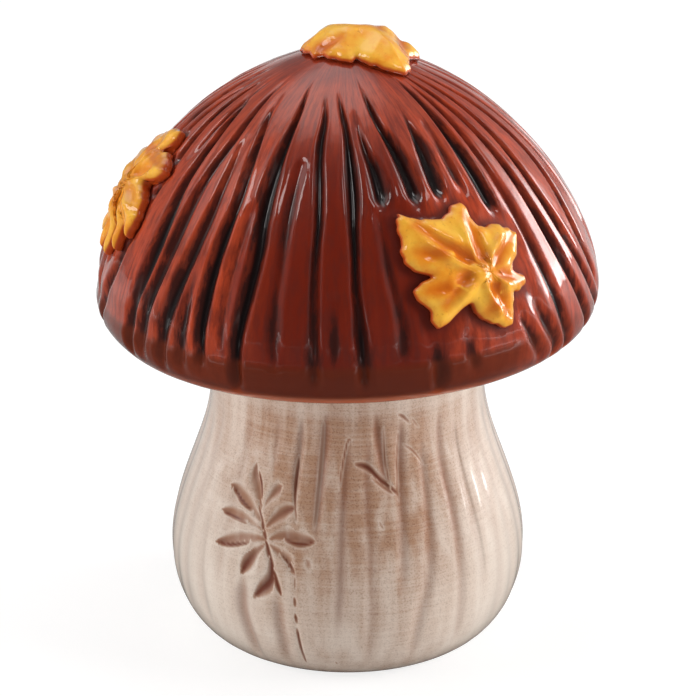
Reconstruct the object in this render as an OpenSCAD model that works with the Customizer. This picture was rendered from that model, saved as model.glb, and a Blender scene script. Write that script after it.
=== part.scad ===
// Glazed ceramic mushroom ornament, slip cast in two hollow parts: a fluted cap
// luted to a gourd-shaped stem, with four applied maple leaves on the cap and a
// maple leaf pressed into the stem. Millimetres, Z up, the foot stands on Z = 0
// and the front, with the pressed leaf a little to the left, faces -Y.
// Azimuth is 0 at the front and grows to the right (+X).

/* [Show] */
// Sub-part to draw

/* [Cap] */
// Radius of the cap at its widest line
cap_r = 59; // [56:0.5:62]
// Height of the dome above the widest line
dome_h = 57.5; // [52:0.5:62]
// Fullness of the dome, 2 is an ellipse and less is more pointed
dome_power = 1.65; // [1.5:0.05:1.9]
// Height of the widest line above the table
equator_z = 88.5; // [86:0.5:91]
// How far the rim rolls inward below the widest line
rim_roll = 6.5; // [5:0.5:8]
// Height of the rolled rim
rim_h = 9.2; // [8:0.1:10.5]
// Rise of the hollow underside above the rim
underside_rise = 4.7; // [3:0.1:5.5]
// Width of the flat band under the rim
rim_land = 2.5; // [1.5:0.25:4]
// Width of the flat underside outside the slip fillet
joint_land = 2.8; // [1.5:0.1:4]
// Thickness of the cast clay wall
wall = 4.5; // [4:0.25:5.5]
// Depth factor of all flutes
flute_scale = 1; // [0.6:0.1:1.2]
// Rise of the rounded ridge between two flutes
ridge_rise = 0.5; // [0:0.1:0.8]

/* [Stem] */
// Radius of the flat foot
foot_r = 28; // [26:0.5:30]
// Radius of the belly
belly_r = 42.8; // [40:0.2:45]
// Height of the belly above the table
belly_z = 22; // [19:0.5:25]
// Radius of the neck
neck_r = 32.6; // [32:0.2:34]
// Height where the neck becomes straight
neck_z = 66; // [62:0.5:70]
// Thickness of the stem floor above the foot recess
floor_t = 3.5; // [3:0.25:5]
// Depth of the recess in the foot
foot_recess = 1.5; // [1:0.25:2]
// Width of the ring the ornament stands on
foot_ring_w = 6.5; // [5:0.5:8]
// Diameter of the drain and vent hole
drain_d = 16; // [12:1:20]
// Depth factor of all gouges
gouge_scale = 1; // [0.5:0.1:1.2]
// Depth of the pressed leaf and the scratches
press_depth = 1; // [0.6:0.1:1.4]
// Height of the middle of the pressed leaf
press_z = 39; // [37:0.5:41]
// Span of the pressed leaf
press_span = 30; // [26:0.5:33]
// Height of the middle of the scratches
scratch_z = 56; // [54:0.5:57]

/* [Joint] */
// Radius of the neck hole in the cap underside
hole_r = 29; // [28:0.25:30]
// Play between the spigot of the stem and the neck hole
spigot_play = 0.3; // [0.2:0.05:0.5]
// Height of the spigot above the shoulder of the stem
spigot_h = 4; // [3:0.25:5]
// Radius of the passage from the stem into the cap
passage_r = 24; // [20:0.5:25]
// Thickness of the fired slip between the shoulder and the cap
slip_t = 0.8; // [0.5:0.1:1.2]
// Width of the slip fillet outside the neck
slip_fillet = 2.6; // [1.5:0.1:4]

/* [Leaves] */
// Span of the leaves on the side of the cap
leaf_span = 30; // [27:0.5:32]
// Span of the leaf on the crown
crown_leaf_span = 28; // [25:0.5:30]
// Thickness of the applied leaves on the side of the cap
leaf_t = 3.4; // [2.5:0.1:4]
// Thickness of the leaf on the crown
crown_leaf_t = 4.6; // [3.5:0.1:5]
// Depth of the veins in the leaves
vein_depth = 1; // [0.5:0.1:1.3]
// Gap between a leaf and the smooth cap surface
leaf_seat = 0.08; // [0.05:0.01:0.15]
// Azimuth of the front leaf
front_leaf_az = 32; // [28:1:36]
// Azimuth of the left leaf
left_leaf_az = -79; // [-82:1:-76]
// Azimuth of the leaf at the back
back_leaf_az = 152; // [146:1:158]
// Place of the front leaf from the crown, 0, to the widest line, 1
front_leaf_s = 0.76; // [0.72:0.01:0.78]
// Place of the left leaf from the crown, 0, to the widest line, 1
left_leaf_s = 0.7; // [0.66:0.01:0.74]
// Place of the back leaf from the crown, 0, to the widest line, 1
back_leaf_s = 0.74; // [0.7:0.01:0.78]

/* [Hidden] */

$fn = 96;

glaze_red = "#8f3527";
clay_buff = "#d3c4b6";
slip_pale = "#e2dacd";
leaf_amber = "#eba832";

rim_z = equator_z - rim_h;
underside_z = rim_z + underside_rise;
shoulder_z = underside_z - slip_t;
spigot_r = hole_r - spigot_play;
spigot_top = shoulder_z + spigot_h;
stem_floor_z = foot_recess + floor_t;
rim_in = cap_r - rim_roll - rim_land;
land_r = neck_r + slip_fillet + joint_land;
neck_wall_z = (neck_z + shoulder_z) / 2;

// Flutes of one half of the cap: azimuth, width in degrees, depth, first and
// last position on the meridian (0 crown, 1 widest line), lean at both ends
FLUTES = [
    [-86.5, 3.0, 0.9, 0.28, 1.00, 0, 0],
    [-81.0, 2.4, 0.6, 0.34, 1.00, 0, 0],
    [-75.5, 2.8, 0.8, 0.26, 1.00, 0, 0],
    [-70.5, 2.4, 0.7, 0.20, 0.98, 0, 0],
    [-65.0, 2.2, 0.5, 0.30, 0.95, 0, 0],
    [-56.5, 3.2, 1.1, 0.22, 1.00, -2.5, -0.5],
    [-50.0, 2.4, 0.7, 0.36, 0.98, -1.5, -1.5],
    [-43.5, 2.8, 0.9, 0.38, 1.00, -1.5, -1.5],
    [-38.5, 1.8, 0.4, 0.70, 0.98, -4, -0.5],
    [-33.0, 3.4, 1.4, 0.28, 1.02, -7, -1.5],
    [-24.5, 4.6, 1.7, 0.20, 1.07, -2, 0],
    [-16.5, 2.6, 0.6, 0.38, 0.98, 0, 1],
    [-8.0, 3.2, 1.2, 0.26, 1.00, -1.5, 0.5],
    [2.2, 3.6, 1.5, 0.24, 1.02, -3, 0.5],
    [10.5, 3.0, 1.2, 0.38, 0.98, -3, 1.5],
    [20.5, 3.8, 1.5, 0.20, 1.07, -7, 0],
    [29.5, 3.2, 1.1, 0.28, 1.03, 0, -1],
    [37.0, 2.2, 0.6, 0.40, 1.06, 0, 2],
    [45.5, 3.4, 1.2, 0.28, 1.05, 0, 1],
    [54.0, 2.6, 0.8, 0.55, 1.04, 1, 3],
    [61.5, 3.2, 1.1, 0.20, 1.03, 0.5, 4],
    [68.5, 3.2, 1.1, 0.20, 1.05, 1.5, 4],
    [76.0, 3.2, 1.1, 0.22, 1.02, 2, 2],
    [83.5, 2.6, 0.8, 0.30, 1.00, 1, 1],
];

// Gouges of one half of the stem: azimuth, width in degrees, depth, lowest and
// highest position in mm for a neck 66 high, lean at the bottom and at the top
GOUGES = [
    [-84, 5, 0.6, 8, 64, 0, 0],
    [-74, 5, 0.5, 10, 60, 1, 0],
    [-64, 4.5, 0.5, 8, 64, 1, 0],
    [-55, 6, 0.7, 8, 40, 0, 0],
    [-46, 4, 0.4, 20, 64, 2, 0],
    [-35, 6, 0.8, 3, 27, 0, 0],
    [-27, 3, 0.3, 3, 24, 0, 0],
    [-19.5, 5, 0.8, 3, 56, 2.5, -0.5],
    [-10.5, 3, 0.9, 22, 67, 0.5, 0],
    [-1, 3, 0.7, 12, 64, -1.5, 1.5],
    [7.5, 3, 0.9, 8, 64, -1, 0],
    [14, 4, 1.0, 40, 67, -1, 0],
    [21.5, 3.6, 0.7, 30, 67, -2, 2],
    [29, 4.5, 0.7, 8, 54, -4, 1],
    [40, 3.6, 0.7, 8, 65, 0, 0],
    [48, 5, 0.6, 20, 60, 0, 0],
    [58, 5, 0.6, 6, 62, 1, 0],
    [67, 4, 0.5, 10, 64, 0, 0],
    [76, 5, 0.6, 6, 60, -1, 0],
    [85, 4, 0.5, 12, 64, 0, 0],
];

// Strokes of the pressed leaf: start, end, widest width, for a span of 30
PRESS_AZ = -30;
PRESS = [
    [[-4.5, 15.5], [-1, 3], 3.0],
    [[-1.8, 5], [3, -8], 1.6],
    [[-12, 8.2], [-3, 4.2], 3.0],
    [[-13, 0.7], [-4.5, 0], 2.0],
    [[-13.5, -6.8], [0.5, -3], 2.4],
    [[-5.3, -11.8], [-2.4, -5.8], 2.2],
    [[5.6, -14.5], [2.4, -7], 4.2],
    [[2.8, 11.6], [0.2, 7], 2.6],
    [[0, 3.6], [6.8, 7.2], 1.8],
    [[3, 0.8], [12.5, -0.8], 2.2],
    [[3.2, 0.8], [2, -1.8], 1.2],
    [[9.6, -7.4], [4.2, -3.2], 3.0],
];

// Scratches on the front of the stem, drawn like the strokes of the leaf
SCRATCH_AZ = 14;
SCRATCHES = [
    [[-6.5, 0.5], [3.2, -6.5], 1.3],
    [[5.2, 3], [9, -0.8], 1.0],
    [[6.5, 9], [9.2, 6.2], 1.0],
];

// Outlines of the leaves, clockwise, with their hub and vein ends, drawn for a
// span of 30 and for the crown leaf of 28
LEAF_A = [
    [-14, 14], [-9.5, 12], [-6, 11], [-3.5, 12], [-1.5, 14], [0.5, 15], [2, 13],
    [2, 10.5], [4, 8], [7.5, 8], [9.5, 6.5], [13, 4.5], [12, 2], [10.5, -1],
    [9, -2.5], [12, -5], [11, -7], [9, -9], [7, -7.5], [7.5, -10], [6, -11.5],
    [5.5, -14], [4, -15], [2, -14], [0, -12.5], [-2.5, -12], [-3.5, -10],
    [-4, -8.5], [-8, -10], [-10, -11.5], [-13, -12], [-13.5, -9], [-14, -6.5],
    [-16.5, -4], [-14, -2], [-10.5, -1], [-14, 1.5], [-17, 4], [-16, 6], [-16, 11],
];
HUB_A = [1, -1.5];
VEINS_A = [[-12.5, 10.5], [-0.5, 10], [8.5, 5], [9.5, -7], [2.5, -11.5], [-10.5, -8], [-13, 3]];

LEAF_L = [
    [-2, 19], [1.5, 19.5], [3.5, 16], [3.5, 13.5], [6.5, 15.5], [11, 14], [13, 12.5],
    [10, 9.5], [7, 6], [8, 6.5], [12, 5], [15.5, 2], [18.5, -0.5], [15, -2.5],
    [11.5, -3], [15, -4.5], [17, -5.5], [13, -6.5], [10.5, -6.5], [13.5, -9],
    [10.5, -10.5], [6.5, -9.5], [5, -11.5], [0, -11.5], [-3.5, -9.5], [-3, -7],
    [-7, -6.5], [-8.5, -4], [-5, -2], [-2, 0.5], [-6, 3], [-11, 5], [-12.5, 7],
    [-8.5, 9.5], [-4.5, 10.5], [-5.5, 13], [-4.5, 17],
];
HUB_L = [0.5, 1];
VEINS_L = [[-0.5, 16], [9.5, 11.5], [14.5, 0], [13, -5], [9.5, -8.5], [1, -9], [-9, 6.5]];

LEAF_C = [
    [-10.5, -4], [-9.5, 2], [-6, 4.5], [-8, 7], [-6.5, 9.5], [-3, 9], [0, 8],
    [0.5, 11.5], [3, 13.5], [6, 12], [7, 8.5], [9, 9.5], [12, 11], [14, 8],
    [12.5, 3.5], [14.5, 4], [16, 1.5], [15, -3], [13, -6.5], [14, -10],
    [13.5, -13.5], [11, -15], [8, -14.5], [3.5, -12.5], [2, -12], [0.5, -13],
    [-3, -12], [-6.5, -10], [-6.5, -7], [-9.5, -7],
];
HUB_C = [3, -1.5];
VEINS_C = [[-7, -4], [-4.5, 6.5], [3, 10], [10.5, 7.5], [12.5, 0], [10.5, -11.5], [-3, -9.5]];

function smooth(a, b, x) = let(t = min(1, max(0, (x - a) / (b - a)))) t * t * (3 - 2 * t);

// Cap meridian: radius and height at position s, 0 crown, 1 widest line, 1.2 rim
function dome_k(a) = pow(pow(cos(a), dome_power) + pow(sin(a), dome_power), -1 / dome_power);
function cap_dome(a) = [cap_r * dome_k(a) * sin(a), equator_z + dome_h * dome_k(a) * cos(a)];
function cap_rim(b) = [cap_r - rim_roll * (1 - cos(b)), equator_z - rim_h * sin(b)];
function cap_at(s) = s <= 1 ? cap_dome(max(0, s) * 90) : cap_rim((s - 1) * 450);
arcs = [for (a = [0:5:85]) norm(cap_dome(a + 5) - cap_dome(a))];
// Length of the cap meridian from the crown to the widest line
meridian = arcs * [for (a = arcs) 1];
function cap_out(s) =
    let(p = cap_at(max(0, s - 0.01)), q = cap_at(min(1.2, s + 0.01)), d = q - p)
    [-d[1], d[0]] / norm(d);

// Point on the cap at azimuth az and position s, moved out by h
function cap_point(az, s, h) =
    let(p = cap_at(s) + h * cap_out(s))
    [p[0] * sin(az), -p[0] * cos(az), p[1]];

// Smooth pad under a leaf: 0 on the pad, 1 away from it
function wrap(a) = a - 360 * round(a / 360);
function pad(az, s, paz, ps) =
    let(u = abs(wrap(az - paz)) * PI / 180 * cap_at(s)[0], v = abs(s - ps) * meridian)
    smooth(0.6, 0.68, pow(pow(u, 3) + pow(v, 3), 1 / 3) / leaf_span);
function off_pads(az, s) =
    pad(az, s, front_leaf_az, front_leaf_s)
    * pad(az, s, left_leaf_az, left_leaf_s)
    * pad(az, s, back_leaf_az, back_leaf_s);

// Columns of a fluted or gouged surface, four or three for each groove
function both_halves(t) = concat(t, [for (f = t) concat([f[0] + 180], [for (i = [1:6]) f[i]])]);
function cols(t, ridges) =
    let(n = len(t))
    [for (i = [0:n - 1])
        let(f = t[i], g = t[(i + 1) % n], gap = (g[0] < f[0] ? g[0] + 360 : g[0]) - f[0])
        each concat(
            [[f[0] - f[1] / 2, 0, 0, f[3], f[4], f[5], f[6]],
             [f[0], -f[2], 0, f[3], f[4], f[5], f[6]],
             [f[0] + f[1] / 2, 0, 0, f[3], f[4], f[5], f[6]]],
            ridges ? [[f[0] + (f[1] + 2 * gap - g[1]) / 4, 0, 1, 0, 0, (f[5] + g[5]) / 2,
                       (f[6] + g[6]) / 2]] : [])];

// Skin of a body from rings of points, closed by a fan at both ends
function band(i, n) = [for (j = [0:n - 1]) let(k = (j + 1) % n)
    each [[i * n + j, i * n + k, (i + 1) * n + k], [i * n + j, (i + 1) * n + k, (i + 1) * n + j]]];
function flip(f) = [for (t = f) [t[0], t[2], t[1]]];

CAP_COLS = cols(both_halves(FLUTES), true);
CAP_S = [0.07, 0.16, 0.23, 0.3, 0.38, 0.46, 0.54, 0.61, 0.69, 0.77, 0.85, 0.92, 0.98, 1.04, 1.09, 1.14, 1.2];

function cap_lean(c, s) = s < 0.6
    ? c[5] * pow((0.6 - max(s, 0.16)) / 0.3, 1.2) * smooth(0.05, 0.2, s)
    : c[6] * smooth(0.6, 0.98, s);
function cap_relief(c, az, s) =
    let(groove = smooth(c[3] - 0.03, c[3] + 0.08, s) * (1 - smooth(c[4] - 0.05, c[4] + 0.03, s)),
        swell = smooth(0.18, 0.36, s) * (1 - smooth(0.92, 1.03, s)))
    off_pads(az, s) * (c[1] * flute_scale * groove + c[2] * ridge_rise * swell);

module fluted_dome() {
    n = len(CAP_COLS);
    m = len(CAP_S);
    points = [for (s = CAP_S) for (c = CAP_COLS)
        let(az = c[0] + cap_lean(c, s)) cap_point(az, s, cap_relief(c, az, s))];
    faces = concat(
        [for (i = [0:m - 2]) each band(i, n)],
        [for (j = [0:n - 1]) [m * n, (j + 1) % n, j]],
        [[for (j = [0:n - 1]) (m - 1) * n + j]]);
    polyhedron(concat(points, [[0, 0, equator_z + dome_h]]), faces, convexity = 6);
}

module cap_hollow() {
    rotate_extrude()
        polygon(concat(
            [[0, rim_z - wall], [rim_in, rim_z - wall]],
            [for (t = [[0, 0.1], [0.16, 0.4], [0.5, 0.8], [1, 1]])
                [rim_in + t[0] * (land_r - rim_in), rim_z + t[1] * underside_rise]],
            [[hole_r, underside_z], [hole_r, underside_z + wall],
             [rim_in + rim_land / 2, underside_z + wall]],
            [for (s = [0.92:-0.115:0.1]) cap_at(s) - wall * cap_out(s)],
            [[0, equator_z + dome_h - 1.13 * wall]]));
}

module cap() {
    color(glaze_red)
        difference() {
            fluted_dome();
            cap_hollow();
        }
}

// Radius of the stem at height z
function stem_r(z) = z < belly_z
    ? foot_r + (belly_r - foot_r) * sqrt(max(0, 1 - pow((belly_z - z) / belly_z, 2)))
    : neck_r + (belly_r - neck_r) * (0.5 + 0.5 * cos(180 * min(1, (z - belly_z) / (neck_z - belly_z))));

STEM_COLS = cols(both_halves(GOUGES), false);
// Levels of the rings in mm for a neck 66 high, above them the plain shoulder
STEM_LEVELS = [0, 0.8, 2.5, 5, 8.5, 13, 18, 24, 30, 36, 42, 48, 54, 59, 63.5, 68];
stem_unit = neck_z / 66;
STEM_Z = concat(stem_unit * STEM_LEVELS, [shoulder_z]);

function stem_relief(c, level) =
    c[1] * gouge_scale * smooth(c[3] - 3, c[3] + 5, level)
    * (1 - smooth(c[4] - 4, c[4] + 2, level));
function stem_lean(c, level) = level < 36
    ? c[5] * (1 - smooth(6, 36, level))
    : c[6] * smooth(36, 66, level);

module gouged_body() {
    n = len(STEM_COLS);
    m = len(STEM_Z);
    points = [for (z = STEM_Z) for (c = STEM_COLS)
        let(level = z / stem_unit, r = stem_r(z) + stem_relief(c, level),
            az = c[0] + stem_lean(c, level))
        [r * sin(az), -r * cos(az), z]];
    faces = concat(
        [for (i = [0:m - 2]) each flip(band(i, n))],
        [[for (j = [0:n - 1]) j]],
        [[for (j = [n - 1:-1:0]) (m - 1) * n + j]]);
    polyhedron(points, faces, convexity = 6);
}

module stem_hollow() {
    inner = foot_r - foot_ring_w;
    rotate_extrude()
        polygon(concat(
            [[0, -1], [inner, -1], [inner, 0], [inner - 1.5, foot_recess], [drain_d / 2, foot_recess],
             [drain_d / 2, stem_floor_z], [foot_r, stem_floor_z],
             [(foot_r + belly_r) / 2 - wall / 2, stem_floor_z + 0.1 * belly_z]],
            [for (t = [0.18:0.136:1]) [stem_r(t * neck_z) - wall, t * neck_z]],
            [[neck_r - wall, neck_wall_z - wall / 2], [passage_r, neck_wall_z + wall / 2],
             [passage_r, spigot_top + 1], [0, spigot_top + 1]]));
}

// Thin shell on the stem surface that limits the depth of pressed marks
module press_shell(middle) {
    levels = [for (t = [-5:5]) middle + t / 8 * press_span];
    rotate_extrude()
        polygon(concat(
            [for (z = levels) [stem_r(z) - press_depth, z]],
            [for (i = [len(levels) - 1:-1:0]) [stem_r(levels[i]) + 2 * press_depth, levels[i]]]));
}

function stroke(a, b, w) =
    let(d = b - a, p = [-d[1], d[0]] / norm(d) * w / 2)
    [a, a + 0.22 * d + 0.8 * p, a + 0.5 * d + p, a + 0.8 * d + 0.7 * p, b + 0.3 * p,
     b - 0.3 * p, a + 0.8 * d - 0.7 * p, a + 0.5 * d - p, a + 0.22 * d - 0.8 * p];

module marks(list, az, middle) {
    rotate([0, 0, az])
        translate([0, -belly_r / 2, middle])
            rotate([90, 0, 0])
                linear_extrude(height = belly_r)
                    for (s = list)
                        polygon(press_span / 30 * stroke(s[0], s[1], s[2]));
}

module stem() {
    color(clay_buff)
        difference() {
            union() {
                gouged_body();
                translate([0, 0, shoulder_z - 3])
                    cylinder(r = spigot_r, h = spigot_h + 3);
            }
            stem_hollow();
            intersection() {
                press_shell(press_z);
                marks(PRESS, PRESS_AZ, press_z);
            }
            intersection() {
                press_shell(scratch_z);
                marks(SCRATCHES, SCRATCH_AZ, scratch_z);
            }
        }
}

// Fired slip that lutes the cap to the shoulder of the stem, with its fillet
module slip_joint() {
    color(slip_pale)
        rotate_extrude()
            polygon([
                [hole_r, shoulder_z], [neck_r + 0.03, shoulder_z],
                [neck_r + 0.03, shoulder_z - slip_fillet],
                [neck_r + slip_fillet * 0.3, shoulder_z - slip_fillet * 0.4],
                [neck_r + slip_fillet, underside_z], [hole_r, underside_z]]);
}

// Distance from point p to the line from a to b
function seg_gap(p, a, b) =
    let(d = b - a, t = min(1, max(0, ((p - a) * d) / (d * d))))
    norm(p - a - t * d);
function vein(p, hub, ends) = 1 - smooth(0.2, 2.2, min([for (e = ends) seg_gap(p, hub, e)]));

// Rings of an applied leaf: share of the outline and height, from the bottom
// hub outwards and over the edge to the top hub
UNDER = [0.35, 0.68, 0.97];
OVER = [[1, 0.4], [0.93, 0.72], [0.66, 0.94], [0.36, 1]];

function leaf_height(p, share, t, hub, ends) = t * share - vein_depth * vein(p, hub, ends);

module leaf(outline, hub, ends, t, place) {
    n = len(outline);
    low = [for (f = UNDER) for (p = outline) concat(hub + f * (p - hub), [leaf_seat])];
    top = [for (o = OVER) for (p = outline)
        let(q = hub + o[0] * (p - hub))
        concat(q, [o[1] < 0.5 ? t * o[1] : leaf_height(q, o[1], t, hub, ends)])];
    flat = concat(low, top, [concat(hub, [leaf_seat])], [concat(hub, [t - vein_depth])]);
    m = 7;
    faces = concat(
        [for (i = [0:m - 2]) each band(i, n)],
        [for (j = [0:n - 1]) [m * n, (j + 1) % n, j]],
        [for (j = [0:n - 1]) [m * n + 1, (m - 1) * n + j, (m - 1) * n + (j + 1) % n]]);
    color(leaf_amber)
        polyhedron([for (q = flat) placed(q, place)], faces, convexity = 8);
}

// Lay a leaf point on the cap: place is azimuth, position, turn and size, or
// "crown" for the leaf on the crown, whose points are measured from the axis
crown_unit = crown_leaf_span / 28;
leaf_unit = leaf_span / 30;
function turned(q, a) = [q[0] * cos(a) - q[1] * sin(a), q[0] * sin(a) + q[1] * cos(a)];
function placed(q, place) = place == "crown"
    ? let(r = crown_unit * norm([q[0], q[1]]), az = atan2(q[0], -q[1]))
        cap_point(az, r / meridian, q[2])
    : let(p = leaf_unit * place[3] * turned(q, place[2]), s = place[1] - p[1] / meridian)
        cap_point(place[0] + p[0] / cap_at(s)[0] * 180 / PI, s, q[2]);

module crown_leaf() {
    leaf(LEAF_C, HUB_C, VEINS_C, crown_leaf_t, "crown");
}

module front_leaf() {
    leaf(LEAF_A, HUB_A, VEINS_A, leaf_t, [front_leaf_az, front_leaf_s, 0, 1]);
}

module left_leaf() {
    leaf(LEAF_L, HUB_L, VEINS_L, leaf_t, [left_leaf_az, left_leaf_s, 0, 0.93]);
}

module back_leaf() {
    leaf(LEAF_A, HUB_A, VEINS_A, leaf_t, [back_leaf_az, back_leaf_s, 60, 0.95]);
}

cap();
stem();
slip_joint();
crown_leaf();
front_leaf();
left_leaf();
back_leaf();
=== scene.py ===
import math

import bpy
import mathutils
import numpy as np
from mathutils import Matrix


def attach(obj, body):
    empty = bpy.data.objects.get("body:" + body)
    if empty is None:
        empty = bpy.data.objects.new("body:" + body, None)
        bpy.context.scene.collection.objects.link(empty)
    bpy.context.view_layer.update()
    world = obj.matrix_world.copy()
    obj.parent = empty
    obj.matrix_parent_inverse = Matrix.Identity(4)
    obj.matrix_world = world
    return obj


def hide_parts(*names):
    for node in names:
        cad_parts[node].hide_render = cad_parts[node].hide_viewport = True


bl_info = {
    "name": "Ceramic Mushroom Ornament",
    "version": (1, 0, 0),
    "blender": (4, 5, 0),
    "location": "View3D > Sidebar > Ornament",
    "description": "Builds the glazed ceramic mushroom ornament around its packed CAD model",
    "category": "Add Mesh",
}

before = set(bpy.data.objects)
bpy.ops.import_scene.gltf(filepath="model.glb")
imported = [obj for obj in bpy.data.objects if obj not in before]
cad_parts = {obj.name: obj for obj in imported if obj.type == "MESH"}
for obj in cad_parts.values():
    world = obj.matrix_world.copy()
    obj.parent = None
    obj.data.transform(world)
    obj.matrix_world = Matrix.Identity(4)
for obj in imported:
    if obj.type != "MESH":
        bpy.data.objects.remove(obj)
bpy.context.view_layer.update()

MM = 0.001
# Sizes in mm: the cylinder on which azimuths are unrolled, the cap's meridian from crown to widest
# line, its rolled rim inwards and down, its seat on the stem, and the wall of both castings.
UNROLLED = 59.0
MERIDIAN = 88.0
RIM_IN, RIM_DOWN = 6.5, 9.2
CAP_SEAT = 84.0
WALL = 4.5
# The stem's radius at the foot, belly and neck, and the heights of belly and neck.
FOOT_R, BELLY_R, NECK_R, BELLY_Z, NECK_Z = 28, 42.8, 32.6, 22, 66
# Unrolled height in mm given to hidden walls, out of reach of every stroke.
HIDDEN = 9000
# Strokes that end past this azimuth in degrees lie wholly behind the seam.
PAST_SEAM = 215

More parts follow.
